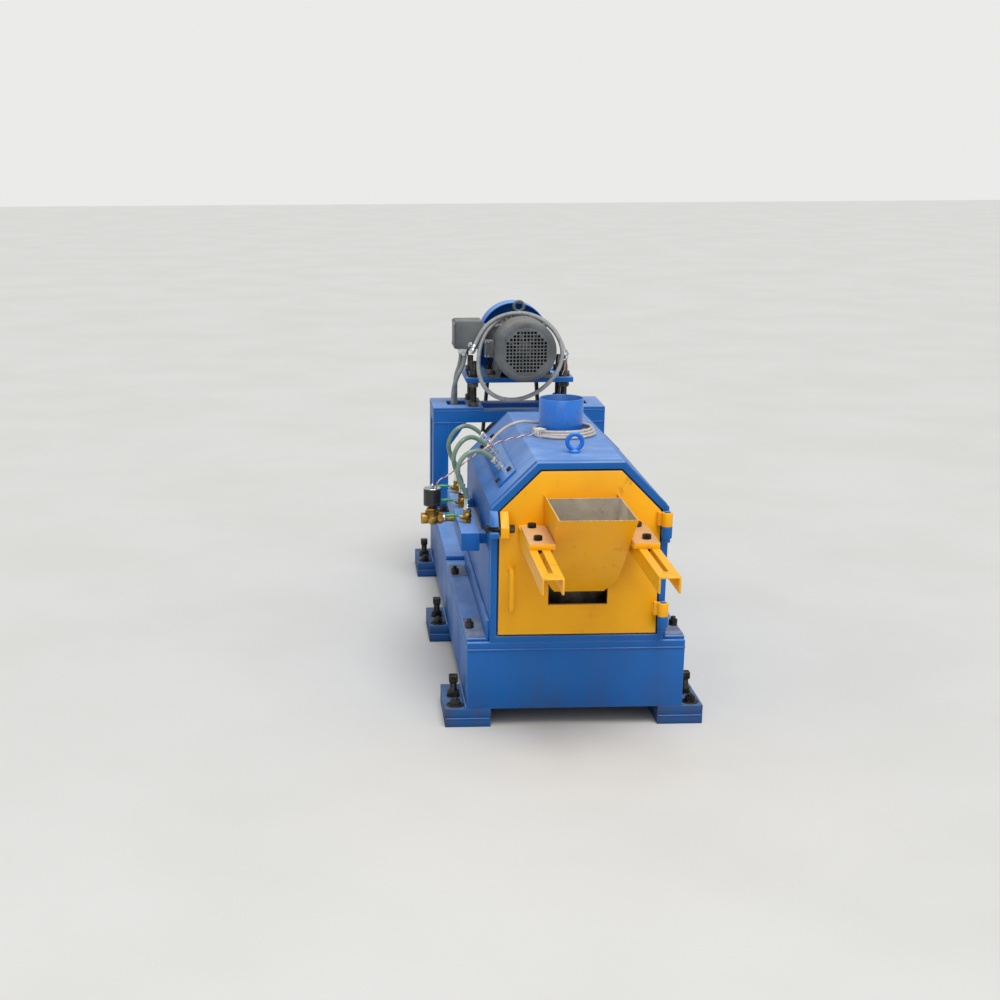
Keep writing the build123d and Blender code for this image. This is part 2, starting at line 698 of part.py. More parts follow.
lug_outer_x = CHANNEL_X + CHANNEL_WIDTH / 2
lug_width = lug_outer_x - half_hopper
with BuildPart() as hopper_lugs:
    with BuildSketch(Plane.XY.offset(CHANNEL_TOP)):
        for side in SIDES:
            with Locations((side * (half_hopper + lug_width / 2), depth(-(LUG_NEAR + LUG_FAR) / 2))):
                Rectangle(lug_width, LUG_FAR - LUG_NEAR)
    extrude(amount=LUG_THICKNESS)
save(hopper_lugs, "hopper_lugs")

# Grab handle: a round bar bent twice
with BuildPart() as grab_handle:
    with BuildLine(Plane.YZ.offset(HANDLE_X)) as handle_path:
        FilletPolyline(
            (depth(0), HANDLE_LOW),
            (depth(-HANDLE_REACH), HANDLE_LOW),
            (depth(-HANDLE_REACH), HANDLE_HIGH),
            (depth(0), HANDLE_HIGH),
            radius=HANDLE_BEND,
        )
    with BuildSketch(Plane(origin=handle_path.line @ 0, z_dir=handle_path.line % 0)):
        Circle(HANDLE_BAR_RADIUS)
    sweep()
save(grab_handle, "grab_handle")

# Spindle: mould, shaft with faceplate, pulley; all turn about one axis
spindle_axis = Axis((0, 0, SPINDLE_LEVEL), (0, 1, 0))
mould_end = MOULD_START + MOULD_LENGTH

with BuildPart() as mould:
    with BuildSketch(Plane.YZ):
        with BuildLine():
            Polyline(
                (depth(MOULD_START), SPINDLE_LEVEL + MOULD_MOUTH_RADIUS),
                (depth(MOULD_START), SPINDLE_LEVEL + MOULD_RADIUS),
                (depth(mould_end), SPINDLE_LEVEL + MOULD_RADIUS),
                (depth(mould_end), SPINDLE_LEVEL + MOULD_BORE_RADIUS),
                (depth(MOULD_START + MOULD_COVER_THICKNESS), SPINDLE_LEVEL + MOULD_BORE_RADIUS),
                (depth(MOULD_START + MOULD_COVER_THICKNESS), SPINDLE_LEVEL + MOULD_MOUTH_RADIUS),
                close=True,
            )
        make_face()
    revolve(axis=spindle_axis)
save(mould, "mould")

faceplate_end = mould_end + FACEPLATE_THICKNESS
with BuildPart() as spindle_shaft:
    for start, end, radius in (
        (mould_end, faceplate_end, FACEPLATE_RADIUS),
        (faceplate_end, faceplate_end + HUB_LENGTH, HUB_RADIUS),
        (faceplate_end + HUB_LENGTH, BELT_DEPTH + SHAFT_END_OVERHANG, SHAFT_RADIUS),
    ):
        with BuildSketch(front_plane(start)):
            with Locations((0, SPINDLE_LEVEL)):
                Circle(radius)
        extrude(amount=-(end - start))
save(spindle_shaft, "spindle_shaft")

housing_level = BED_TOP + HOUSING_FOOT_THICKNESS
with BuildPart() as bearing_housing:
    with BuildSketch(front_plane(HOUSING_START)):
        with Locations((0, (BED_TOP + HOUSING_TOP) / 2)):
            Rectangle(HOUSING_WIDTH, HOUSING_TOP - BED_TOP)
        fillet(vertices().group_by(Axis.Z)[-1], HOUSING_ROUND)
        with Locations((0, BED_TOP + HOUSING_FOOT_THICKNESS / 2)):
            Rectangle(HOUSING_FOOT_WIDTH, HOUSING_FOOT_THICKNESS)
        with Locations((0, SPINDLE_LEVEL)):
            Circle(SHAFT_RADIUS + SHAFT_CLEARANCE, mode=Mode.SUBTRACT)
    extrude(amount=-HOUSING_LENGTH)
save(bearing_housing, "bearing_housing")

with BuildPart() as bearing_caps:
    for start in (HOUSING_START - HOUSING_CAP_THICKNESS, HOUSING_START + HOUSING_LENGTH):
        with BuildSketch(front_plane(start)):
            with Locations((0, SPINDLE_LEVEL)):
                Circle(HOUSING_CAP_RADIUS)
                Circle(SHAFT_RADIUS + SHAFT_CLEARANCE, mode=Mode.SUBTRACT)
        extrude(amount=-HOUSING_CAP_THICKNESS)
save(bearing_caps, "bearing_caps")


def pulley_half_profile(outer, bore):
    """Half section of a three-groove pulley as (offset along the axis, radius) points."""
    half = PULLEY_WIDTH / 2
    top = BELT_WIDTH / 2 + BELT_CLEARANCE
    points = [(-half, outer - PULLEY_RIM), (-half, outer)]
    for groove in (-1, 0, 1):
        middle = groove * BELT_PITCH
        points += [
            (middle - top, outer),
            (middle - top, outer - GROOVE_DEPTH + 2),
            (middle + top, outer - GROOVE_DEPTH + 2),
            (middle + top, outer),
        ]
    points += [
        (half, outer),
        (half, outer - PULLEY_RIM),
        (PULLEY_WEB / 2, outer - PULLEY_RIM),
        (PULLEY_WEB / 2, bore + PULLEY_HUB_WALL),
        (half, bore + PULLEY_HUB_WALL),
        (half, bore),
        (-half, bore),
        (-half, bore + PULLEY_HUB_WALL),
        (-PULLEY_WEB / 2, bore + PULLEY_HUB_WALL),
        (-PULLEY_WEB / 2, outer - PULLEY_RIM),
    ]
    return points


motor_axis = Axis((0, 0, MOTOR_LEVEL), (0, 1, 0))
for pulley_name, level, outer, shaft, axis in (
    ("spindle_pulley", SPINDLE_LEVEL, SPINDLE_PULLEY_RADIUS, SHAFT_RADIUS, spindle_axis),
    ("motor_pulley", MOTOR_LEVEL, MOTOR_PULLEY_RADIUS, MOTOR_SHAFT_RADIUS, motor_axis),
):
    profile = [(depth(BELT_DEPTH) + y, level + r) for y, r in pulley_half_profile(outer, shaft + BORE_CLEARANCE)]
    with BuildPart() as pulley:
        with BuildSketch(Plane.YZ):
            with BuildLine():
                Polyline(*profile, close=True)
            make_face()
        revolve(axis=axis)
    save(pulley, pulley_name)


def belt_outline(extra):
    """Four tangent points of a belt line round both pulleys, grown by the extra radius."""
    low = SPINDLE_PULLEY_RADIUS + extra
    high = MOTOR_PULLEY_RADIUS + extra
    rise = math.asin((low - high) / (MOTOR_LEVEL - SPINDLE_LEVEL))
    across, up = math.cos(rise), math.sin(rise)
    return low, high, [
        (-low * across, SPINDLE_LEVEL + low * up),
        (low * across, SPINDLE_LEVEL + low * up),
        (high * across, MOTOR_LEVEL + high * up),
        (-high * across, MOTOR_LEVEL + high * up),
    ]


belt_inner = BELT_CLEARANCE - GROOVE_DEPTH + 2
with BuildPart() as drive_belts:
    for groove in (-1, 0, 1):
        belt_start = BELT_DEPTH + groove * BELT_PITCH - BELT_WIDTH / 2
        with BuildSketch(front_plane(belt_start)):
            for extra, mode in ((belt_inner + BELT_THICKNESS, Mode.ADD), (belt_inner, Mode.SUBTRACT)):
                low, high, corners = belt_outline(extra)
                with Locations((0, SPINDLE_LEVEL)):
                    Circle(low, mode=mode)
                with Locations((0, MOTOR_LEVEL)):
                    Circle(high, mode=mode)
                Polygon(*corners, align=None, mode=mode)
        extrude(amount=-BELT_WIDTH)
save(drive_belts, "drive_belts")

# Motor frame: two portals on the pads, top plates, and a cross beam between the pads
half_portal = half_bed + PORTAL_OVERHANG
post_base = pad_top + POST_FOOT_THICKNESS
beam_base = PORTAL_TOP - BEAM_HEIGHT
post_inner = half_portal - POST_WIDTH
slot_inner = post_inner - TOP_SLOT_WIDTH
top_plate_width = half_portal - TOP_PLATE_INNER_EDGE
rear_portal_start = PORTAL_START + PORTAL_DEPTH - POST_DEPTH

for portal_name, start, lip in (
    ("front_portal", PORTAL_START, POST_FOOT_LIP),
    ("rear_portal", rear_portal_start, 0.0),
):
    with BuildPart() as portal:
        with BuildSketch(front_plane(start)):
            with Locations((0, (PORTAL_TOP + beam_base) / 2)):
                Rectangle(2 * half_portal, BEAM_HEIGHT)
            for side in SIDES:
                with Locations((side * (half_portal - POST_WIDTH / 2), (beam_base + post_base) / 2)):
                    Rectangle(POST_WIDTH, beam_base - post_base)
                Polygon(
                    (side * post_inner, beam_base),
                    (side * (post_inner - GUSSET_WIDTH), beam_base),
                    (side * post_inner, beam_base - GUSSET_HEIGHT),
                    align=None,
                )
        extrude(amount=-POST_DEPTH)
        foot_length = POST_DEPTH + lip
        with BuildSketch(Plane.XY.offset(pad_top)):
            for side in SIDES:
                with Locations(
                    (side * (half_bed - PAD_WIDTH / 2), depth(start + POST_DEPTH - foot_length / 2))
                ):
                    Rectangle(PAD_WIDTH, foot_length)
        extrude(amount=POST_FOOT_THICKNESS)
    save(portal, portal_name)

portal_middle = PORTAL_START + PORTAL_DEPTH / 2
with BuildPart() as frame_top_plates:
    with BuildSketch(Plane.XY.offset(PORTAL_TOP)):
        for side in SIDES:
            with Locations((side * (half_portal - top_plate_width / 2), depth(portal_middle))):
                Rectangle(top_plate_width, PORTAL_DEPTH)
            with Locations(
                (side * (slot_inner + post_inner) / 2, depth(TOP_SLOT_START + TOP_SLOT_LENGTH / 2))
            ):
                Rectangle(TOP_SLOT_WIDTH, TOP_SLOT_LENGTH, mode=Mode.SUBTRACT)
    extrude(amount=TOP_PLATE_THICKNESS)
save(frame_top_plates, "frame_top_plates")

rail_start = PORTAL_START + POST_DEPTH
rail_length = rear_portal_start - rail_start
with BuildPart() as frame_side_rails:
    with BuildSketch(front_plane(rail_start)):
        for side in SIDES:
            with Locations((side * (half_portal - RAIL_THICKNESS / 2), (PORTAL_TOP + beam_base) / 2)):
                Rectangle(RAIL_THICKNESS, BEAM_HEIGHT)
            with Locations((side * (half_bed - RAIL_THICKNESS / 2), pad_top + LOWER_RAIL_HEIGHT / 2)):
                Rectangle(RAIL_THICKNESS, LOWER_RAIL_HEIGHT)
    extrude(amount=-rail_length)
save(frame_side_rails, "frame_side_rails")

with BuildPart() as cross_beam:
    with BuildSketch(Plane.XY.offset(pad_top)):
        with Locations((0, depth(rail_start + rail_length / 2))):
            Rectangle(BED_WIDTH - 2 * RAIL_THICKNESS, CROSS_BEAM_DEPTH)
    extrude(amount=CROSS_BEAM_HEIGHT)
save(cross_beam, "cross_beam")

# Motor plate, held at its height by four screws that stand on the top plates
plate_top = MOTOR_LEVEL - MOTOR_SHAFT_HEIGHT
plate_base = plate_top - MOTOR_PLATE_THICKNESS
plate_end = BELT_DEPTH + MOTOR_PLATE_OVERHANG
screw_base = PORTAL_TOP + TOP_PLATE_THICKNESS
window_start = BELT_DEPTH - PULLEY_WIDTH / 2 - WINDOW_CLEARANCE
window_end = BELT_DEPTH + PULLEY_WIDTH / 2 + WINDOW_CLEARANCE
screw_spots = [
    (side * (MOTOR_PLATE_WIDTH / 2 - SCREW_EDGE), depth(distance))
    for side in SIDES
    for distance in (PORTAL_START + SCREW_INSET, PORTAL_START + PORTAL_DEPTH - SCREW_INSET)
]

with BuildPart() as motor_plate:
    with BuildSketch(Plane.XY.offset(plate_base)):
        with Locations((0, depth((PORTAL_START + plate_end) / 2))):
            Rectangle(MOTOR_PLATE_WIDTH, plate_end - PORTAL_START)
        with Locations((0, depth((window_start + window_end) / 2))):
            Rectangle(BELT_WINDOW_WIDTH, window_end - window_start, mode=Mode.SUBTRACT)
        with Locations(*screw_spots):
            Circle(SCREW_RADIUS + BORE_CLEARANCE, mode=Mode.SUBTRACT)
    extrude(amount=MOTOR_PLATE_THICKNESS)
save(motor_plate, "motor_plate")

with BuildPart() as tension_screws:
    for nut_base in (screw_base, plate_base - NUT_HEIGHT, plate_top):
        with BuildSketch(Plane.XY.offset(nut_base)):
            with Locations(*screw_spots):
                RegularPolygon(NUT_SIZE / 2, 6, major_radius=False)
        extrude(amount=NUT_HEIGHT)
    with BuildSketch(Plane.XY.offset(screw_base)):
        with Locations(*screw_spots):
            Circle(SCREW_RADIUS)
    extrude(amount=SCREW_TOP - screw_base)
save(tension_screws, "tension_screws")

# Motor: finned body with end shield and feet, fan cowl with its grille, rotor with the fan
body_start = MOTOR_START + COWL_LENGTH
shield_start = body_start + BODY_LENGTH
shield_end = shield_start + SHIELD_LENGTH
foot_pad_start = body_start + (BODY_LENGTH - MOTOR_FOOT_LENGTH) / 2
fin_length = FIN_RADIUS - BODY_CORE_RADIUS + 4

with BuildPart() as motor_body:
    with BuildSketch(front_plane(body_start)):
        with Locations((0, MOTOR_LEVEL)):
            Circle(COWL_RADIUS - COWL_SHEET)
    extrude(amount=-FRONT_SHIELD_LENGTH)
    with BuildSketch(front_plane(body_start + FRONT_SHIELD_LENGTH)):
        with Locations((0, MOTOR_LEVEL)):
            Circle(BODY_CORE_RADIUS)
            with PolarLocations(FIN_RADIUS - fin_length / 2, FIN_COUNT):
                Rectangle(fin_length, FIN_THICKNESS)
    extrude(amount=-(BODY_LENGTH - FRONT_SHIELD_LENGTH))
    with BuildSketch(front_plane(shield_start)):
        with Locations((0, MOTOR_LEVEL)):
            Circle(SHIELD_RADIUS)
    extrude(amount=-SHIELD_LENGTH)
    chamfer(faces().sort_by(Axis.Y)[-1].edges(), SHIELD_LENGTH / 3)
    with BuildSketch(front_plane(foot_pad_start)):
        for side in SIDES:
            with Locations((side * (MOTOR_FOOT_SPREAD / 2 - 6), plate_top + MOTOR_FOOT_THICKNESS / 2)):
                Rectangle(MOTOR_FOOT_WIDTH, MOTOR_FOOT_THICKNESS)
            Polygon(
                (side * (MOTOR_FOOT_SPREAD / 2 - 20), plate_top),
                (side * (MOTOR_FOOT_SPREAD / 2 - 6), plate_top),
                (side * (MOTOR_FOOT_SPREAD / 2 - 24), MOTOR_LEVEL - BODY_CORE_RADIUS / 2),
                (side * (MOTOR_FOOT_SPREAD / 2 - 50), MOTOR_LEVEL - BODY_CORE_RADIUS / 2),
                align=None,
            )
    extrude(amount=-MOTOR_FOOT_LENGTH)
    with BuildSketch(front_plane(shield_start)):
        with Locations((0, MOTOR_LEVEL)):
            Circle(MOTOR_SHAFT_RADIUS + SHAFT_CLEARANCE)
    extrude(amount=-SHIELD_LENGTH, mode=Mode.SUBTRACT)
    with BuildSketch(front_plane(body_start)):
        with Locations((0, MOTOR_LEVEL)):
            Circle(MOTOR_SHAFT_RADIUS + SHAFT_CLEARANCE)
    extrude(amount=-BODY_LENGTH, mode=Mode.SUBTRACT)
    neck_start = TERMINAL_START + (TERMINAL_LENGTH - TERMINAL_NECK_LENGTH) / 2
    with BuildSketch(front_plane(neck_start)):
        with Locations((-(BODY_CORE_RADIUS / 2 + TERMINAL_INNER) / 2, MOTOR_LEVEL + TERMINAL_RAISE)):
            Rectangle(TERMINAL_INNER - BODY_CORE_RADIUS / 2, TERMINAL_NECK_HEIGHT)
    extrude(amount=-TERMINAL_NECK_LENGTH)
save(motor_body, "motor_body")

with BuildPart() as fan_cowl:
    with BuildSketch(Plane.YZ):
        with BuildLine():
            Polyline(
                (depth(MOTOR_START), MOTOR_LEVEL + GRILLE_RADIUS),
                (depth(MOTOR_START), MOTOR_LEVEL + COWL_RADIUS - COWL_ROUND),
                (depth(MOTOR_START + COWL_ROUND), MOTOR_LEVEL + COWL_RADIUS),
                (depth(body_start + COWL_LAP), MOTOR_LEVEL + COWL_RADIUS),
                (depth(body_start + COWL_LAP), MOTOR_LEVEL + COWL_RADIUS - COWL_SHEET),
                (depth(MOTOR_START + COWL_ROUND + 1), MOTOR_LEVEL + COWL_RADIUS - COWL_SHEET),
                (depth(MOTOR_START + COWL_SHEET), MOTOR_LEVEL + COWL_RADIUS - COWL_ROUND - 1),
                (depth(MOTOR_START + COWL_SHEET), MOTOR_LEVEL + GRILLE_RADIUS),
                close=True,
            )
        make_face()
    revolve(axis=motor_axis)
save(fan_cowl, "fan_cowl")

grille_count = 2 * int(GRILLE_RADIUS / GRILLE_PITCH)
hole_size = GRILLE_PITCH - GRILLE_BAR
hole_reach = GRILLE_RADIUS - GRILLE_BAR - hole_size / math.sqrt(2)
hole_spots = []
for row in range(grille_count):
    for column in range(grille_count):
        hole_x = (column - (grille_count - 1) / 2) * GRILLE_PITCH
        hole_z = (row - (grille_count - 1) / 2) * GRILLE_PITCH
        if math.hypot(hole_x, hole_z) < hole_reach:
            hole_spots.append((hole_x, MOTOR_LEVEL + hole_z))

with BuildPart() as fan_grille:
    with BuildSketch(front_plane(MOTOR_START)):
        with Locations((0, MOTOR_LEVEL)):
            Circle(GRILLE_RADIUS - BORE_CLEARANCE)
        with Locations(*hole_spots):
            Rectangle(hole_size, hole_size, mode=Mode.SUBTRACT)
    extrude(amount=-GRILLE_THICKNESS)
save(fan_grille, "fan_grille")

fan_start = MOTOR_START + FAN_SET_BACK
rotor_start = fan_start - FAN_HUB_LIP
with BuildPart() as motor_rotor:
    with BuildSketch(front_plane(rotor_start)):
        with Locations((0, MOTOR_LEVEL)):
            Circle(MOTOR_SHAFT_RADIUS)
    extrude(amount=-(MOTOR_SHAFT_END - rotor_start))
    with BuildSketch(front_plane(fan_start)):
        with Locations((0, MOTOR_LEVEL)):
            Circle(FAN_RADIUS / 3)
            with PolarLocations(FAN_RADIUS * 0.62, FAN_BLADES):
                Rectangle(FAN_RADIUS * 0.7, FAN_BLADE_THICKNESS)
    extrude(amount=-FAN_LENGTH)
save(motor_rotor, "motor_rotor")

# Terminal boxes on the left side of the motor
terminal_x = -(TERMINAL_INNER + TERMINAL_WIDTH / 2)
terminal_level = MOTOR_LEVEL + TERMINAL_RAISE
with BuildPart() as terminal_boxes:
    with BuildSketch(front_plane(TERMINAL_START)):
        with Locations((terminal_x, terminal_level)):
            Rectangle(TERMINAL_WIDTH, TERMINAL_HEIGHT)
        fillet(vertices(), TERMINAL_ROUND)
    extrude(amount=-TERMINAL_LENGTH)
    with BuildSketch(front_plane(FAN_BOX_START)):
        with Locations((-(COWL_RADIUS + FAN_BOX_SIZE / 4), MOTOR_LEVEL)):
            Rectangle(FAN_BOX_SIZE / 2, FAN_BOX_SIZE)
        with Locations((0, MOTOR_LEVEL)):
            Circle(COWL_RADIUS, mode=Mode.SUBTRACT)
    extrude(amount=-FAN_BOX_SIZE)
save(terminal_boxes, "terminal_boxes")

motor_eye_level = MOTOR_LEVEL + FIN_RADIUS + EYE_FOOT_HEIGHT + EYE_RING_RADIUS
with BuildPart() as motor_eye:
    with BuildSketch(Plane.XY.offset(MOTOR_LEVEL + FIN_RADIUS)):
        with Locations((0, depth(MOTOR_EYE_DEPTH))):
            Circle(EYE_FOOT_RADIUS)
    extrude(amount=EYE_FOOT_HEIGHT)
    with Locations(Plane(origin=(0, depth(MOTOR_EYE_DEPTH), motor_eye_level), z_dir=(0, 1, 0))):
        Torus(EYE_RING_RADIUS - 3, EYE_BAR_RADIUS - 1)
save(motor_eye, "motor_eye")

# Belt guard: a round-topped sheet cover over the motor pulley
with BuildPart() as belt_guard:
    with BuildSketch(front_plane(GUARD_START)):
        with Locations((0, MOTOR_LEVEL)):
            Circle(GUARD_RADIUS)
        with Locations((0, (MOTOR_LEVEL + plate_top) / 2)):
            Rectangle(2 * GUARD_RADIUS, MOTOR_LEVEL - plate_top)
        with Locations((0, plate_top - GUARD_RADIUS)):
            Rectangle(2 * GUARD_RADIUS, 2 * GUARD_RADIUS, mode=Mode.SUBTRACT)
    extrude(amount=-(GUARD_END - GUARD_START))
    with BuildSketch(front_plane(GUARD_START)):
        with Locations((0, MOTOR_LEVEL)):
            Circle(GUARD_RADIUS - GUARD_SHEET)
        with Locations((0, (MOTOR_LEVEL + plate_top) / 2)):
            Rectangle(2 * (GUARD_RADIUS - GUARD_SHEET), MOTOR_LEVEL - plate_top)
        with Locations((0, plate_top - GUARD_RADIUS)):
            Rectangle(2 * GUARD_RADIUS, 2 * GUARD_RADIUS, mode=Mode.SUBTRACT)
    extrude(amount=-(GUARD_END - GUARD_START - GUARD_SHEET), mode=Mode.SUBTRACT)
save(belt_guard, "belt_guard")

# Cooling water: manifold on stand-offs, spray plate on the cover's left slope, hoses, valve
manifold_inner = half_cover + MANIFOLD_STAND_OFF
manifold_x = -(manifold_inner + MANIFOLD_SIZE / 2)
manifold_top = MANIFOLD_BASE + MANIFOLD_SIZE
manifold_middle = MANIFOLD_BASE + MANIFOLD_SIZE / 2

with BuildPart() as manifold:
    with BuildSketch(front_plane(MANIFOLD_START)):
        with Locations((manifold_x, manifold_middle)):
            Rectangle(MANIFOLD_SIZE, MANIFOLD_SIZE)
    extrude(amount=-MANIFOLD_LENGTH)
    with BuildSketch(front_plane(MANIFOLD_START + MANIFOLD_WALL)):
        with Locations((manifold_x, manifold_middle)):
            Rectangle(MANIFOLD_SIZE - 2 * MANIFOLD_WALL, MANIFOLD_SIZE - 2 * MANIFOLD_WALL)
    extrude(amount=-(MANIFOLD_LENGTH - 2 * MANIFOLD_WALL), mode=Mode.SUBTRACT)
    with BuildSketch(Plane.YZ.offset(-manifold_inner)):
        for distance in (MANIFOLD_START + 60, MANIFOLD_START + MANIFOLD_LENGTH - 60):
            with Locations((depth(distance), manifold_middle)):
                Rectangle(40, MANIFOLD_SIZE * 0.6)
    extrude(amount=MANIFOLD_STAND_OFF)
save(manifold, "manifold")

slope_middle = COVER_CHAMFER / 2
slope_normal = (-1 / math.sqrt(2), 0, 1 / math.sqrt(2))
spray_middle = SPRAY_PLATE_START + SPRAY_PLATE_LENGTH / 2
slope_origin = (-(half_cover - slope_middle), depth(spray_middle), cover_top - slope_middle)
slope = Plane(origin=slope_origin, x_dir=(0, 1, 0), z_dir=slope_normal)

with BuildPart() as spray_plate:
    with BuildSketch(slope):
        with Locations((0, SPRAY_PLATE_SHIFT)):
            Rectangle(SPRAY_PLATE_LENGTH, SPRAY_PLATE_WIDTH)
    extrude(amount=SPRAY_PLATE_THICKNESS)
save(spray_plate, "spray_plate")

with BuildPart() as spray_fittings:
    with BuildSketch(slope.offset(SPRAY_PLATE_THICKNESS)):
        with Locations(*[(distance - spray_middle, SPRAY_ROW_SHIFT) for distance in OUTLET_DEPTHS]):
            RegularPolygon(NIPPLE_RADIUS, 6)
    extrude(amount=NIPPLE_HEIGHT)
save(spray_fittings, "spray_fittings")

with BuildPart() as outlet_valves:
    with BuildSketch(Plane.XY.offset(manifold_top)):
        with Locations(*[(manifold_x, depth(distance)) for distance in OUTLET_DEPTHS]):
            RegularPolygon(NIPPLE_RADIUS + 2, 6)
    extrude(amount=OUTLET_BODY_HEIGHT)
    with BuildSketch(Plane.XY.offset(manifold_top + OUTLET_BODY_HEIGHT)):
        with Locations(*[(manifold_x, depth(distance)) for distance in OUTLET_DEPTHS]):
            RegularPolygon(NIPPLE_RADIUS, 6)
    extrude(amount=OUTLET_HEIGHT - OUTLET_BODY_HEIGHT)
    with BuildSketch(Plane.XY.offset(manifold_top + LEVER_HEIGHT)):
        with Locations(*[(manifold_x - LEVER_LENGTH / 2, depth(distance)) for distance in OUTLET_DEPTHS]):
            Rectangle(LEVER_LENGTH, LEVER_WIDTH)
    extrude(amount=LEVER_THICKNESS)
save(outlet_valves, "outlet_valves")


def arc_radii(points):
    """Largest tangent arcs that the runs beside each inner point allow."""
    radii = []
    for before, here, after in zip(points, points[1:], points[2:]):
        run_in = Vector(*here) - Vector(*before)
        run_out = Vector(*after) - Vector(*here)
        half_turn = math.radians(run_in.get_angle(run_out)) / 2
        radii.append(0.45 * min(run_in.length, run_out.length) / math.tan(half_turn))
    return radii


def tube(points, radius):
    """Round tube along straight runs joined by tangent arcs."""
    radii = arc_radii(points)
    print("radii", [round(r, 1) for r in radii])
    with BuildPart() as result:
        with BuildLine() as route:
            FilletPolyline(*points, radius=radii)
        with BuildSketch(Plane(origin=route.line @ 0, z_dir=route.line % 0)):
            Circle(radius)
        sweep()
    length = route.wire().length
    section = math.pi * radius * radius
    print("length", round(length, 1), "volume ratio", round(result.part.volume / section / length, 4))
    return result


# Hoses: up from the manifold, over in an arch and down into the spray plate
hose_start = manifold_top + OUTLET_HEIGHT
diagonal = 1 / math.sqrt(2)
tip_height = SPRAY_PLATE_THICKNESS + NIPPLE_HEIGHT
tip_x = slope_origin[0] - (SPRAY_ROW_SHIFT + tip_height) * diagonal
tip_z = slope_origin[2] + (tip_height - SPRAY_ROW_SHIFT) * diagonal
for hose_name, distance, drift in (
    ("front_hose", OUTLET_DEPTHS[0], 15.0),
    ("middle_hose", OUTLET_DEPTHS[1], 50.0),
    ("rear_hose", OUTLET_DEPTHS[2], 30.0),
):
    y = depth(distance)
    final_run = (47 + 0.175 * drift) * diagonal
    hose = tube(
        [
            (manifold_x, y, hose_start),
            (manifold_x, y, hose_start + 37),
            (manifold_x - 20, y - 0.36 * drift, hose_start + 66),
            (manifold_x - 32, y - 0.88 * drift, hose_start + 115.5),
            (manifold_x - 2.5, y - 0.69 * drift, hose_start + 154 + 0.15 * drift),
            (tip_x - final_run, y, tip_z + final_run),
            (tip_x, y, tip_z),
        ],
        HOSE_RADIUS,
    )
    save(hose, hose_name)

# Solenoid valve on the outer face of the manifold
valve_inner = -(manifold_inner + MANIFOLD_SIZE)
valve_outer = valve_inner - VALVE_STAND_OFF
coil_x = valve_outer - VALVE_BODY_LENGTH / 2
valve_level = manifold_middle
with BuildPart() as valve_body:
    with BuildSketch(Plane.YZ.offset(valve_outer)):
        with Locations((depth(VALVE_DEPTH), valve_level)):
            Rectangle(VALVE_BODY_WIDTH, VALVE_BODY_HEIGHT)
        fillet(vertices(), 6)
    extrude(amount=-VALVE_BODY_LENGTH)
    with BuildSketch(Plane.YZ.offset(valve_outer - VALVE_BODY_LENGTH)):
        with Locations((depth(VALVE_DEPTH), valve_level)):
            Circle(VALVE_PORT_RADIUS)
    extrude(amount=VALVE_PORT_LENGTH, mode=Mode.SUBTRACT)
    with BuildSketch(Plane.YZ.offset(valve_inner)):
        with Locations((depth(VALVE_DEPTH), valve_level)):
            Circle(VALVE_NECK_RADIUS)
    extrude(amount=-VALVE_STAND_OFF)
    with BuildSketch(Plane.XY.offset(valve_level + VALVE_BODY_HEIGHT / 2)):
        with Locations((coil_x, depth(VALVE_DEPTH))):
            Circle(BONNET_RADIUS)
    extrude(amount=BONNET_HEIGHT)
save(valve_body, "valve_body")

coil_base = valve_level + VALVE_BODY_HEIGHT / 2 + BONNET_HEIGHT
with BuildPart() as valve_coil:
    with BuildSketch(Plane.XY.offset(coil_base)):
        with Locations((coil_x, depth(VALVE_DEPTH))):
            Circle(COIL_RADIUS)
    extrude(amount=COIL_HEIGHT)
    with BuildSketch(Plane.XY.offset(coil_base + COIL_HEIGHT)):
        with Locations((coil_x, depth(VALVE_DEPTH))):
            RegularPolygon(COIL_CAP_RADIUS, 6)
    extrude(amount=COIL_CAP_HEIGHT)
save(valve_coil, "valve_coil")

# Cable ring laid round the collar, the end of that cable, and the thin lead from the ring to the valve
ring_y = depth(COLLAR_DEPTH - RING_FORWARD)
with BuildPart() as cable_ring:
    with BuildSketch(Plane.XY.offset(cover_top)):
        with Locations((RING_X, ring_y)):
            Circle(RING_RADIUS + RING_SECTION_WIDTH / 2)
            Circle(RING_RADIUS - RING_SECTION_WIDTH / 2, mode=Mode.SUBTRACT)
    extrude(amount=RING_SECTION_HEIGHT)
save(cable_ring, "cable_ring")

coil_top = coil_base + COIL_HEIGHT
valve_cable = tube(
    [
        (coil_x + 10, depth(VALVE_DEPTH), coil_top),
        (coil_x + 10, depth(VALVE_DEPTH), coil_top + 15),
        (coil_x + 32, depth(VALVE_DEPTH - 16), coil_top + 34),
        (coil_x + 69, depth(VALVE_DEPTH - 38), coil_top + 62),
        (coil_x + 117, depth(VALVE_DEPTH - 50), cover_top - 42),
        (-half_cover + 34, depth(VALVE_DEPTH - 49), cover_top - 15),
        (-half_cover + 79, depth(VALVE_DEPTH - 42), cover_top - 2),
        (-half_cover + 122, depth(VALVE_DEPTH - 32), cover_top + 5),
        (RING_X - 0.906 * RING_RADIUS, ring_y - 0.423 * RING_RADIUS, cover_top + 8),
    ],
    LEAD_RADIUS,
)
save(valve_cable, "valve_cable")

tail_y = ring_y + 0.04 * RING_RADIUS
cable_tail = tube(
    [
        (RING_X - 0.98 * RING_RADIUS, tail_y, cover_top + 18),
        (RING_X - 1.25 * RING_RADIUS, tail_y, cover_top + 34),
        (RING_X - 137, tail_y - 3, cover_top + 33),
        (RING_X - 166, tail_y - 7, cover_top + 21),
        (RING_X - 190, tail_y - 9, cover_top + 1),
        (RING_X - 209, tail_y - 13, cover_top - 22),
    ],
    CABLE_RADIUS,
)
save(cable_tail, "cable_tail")

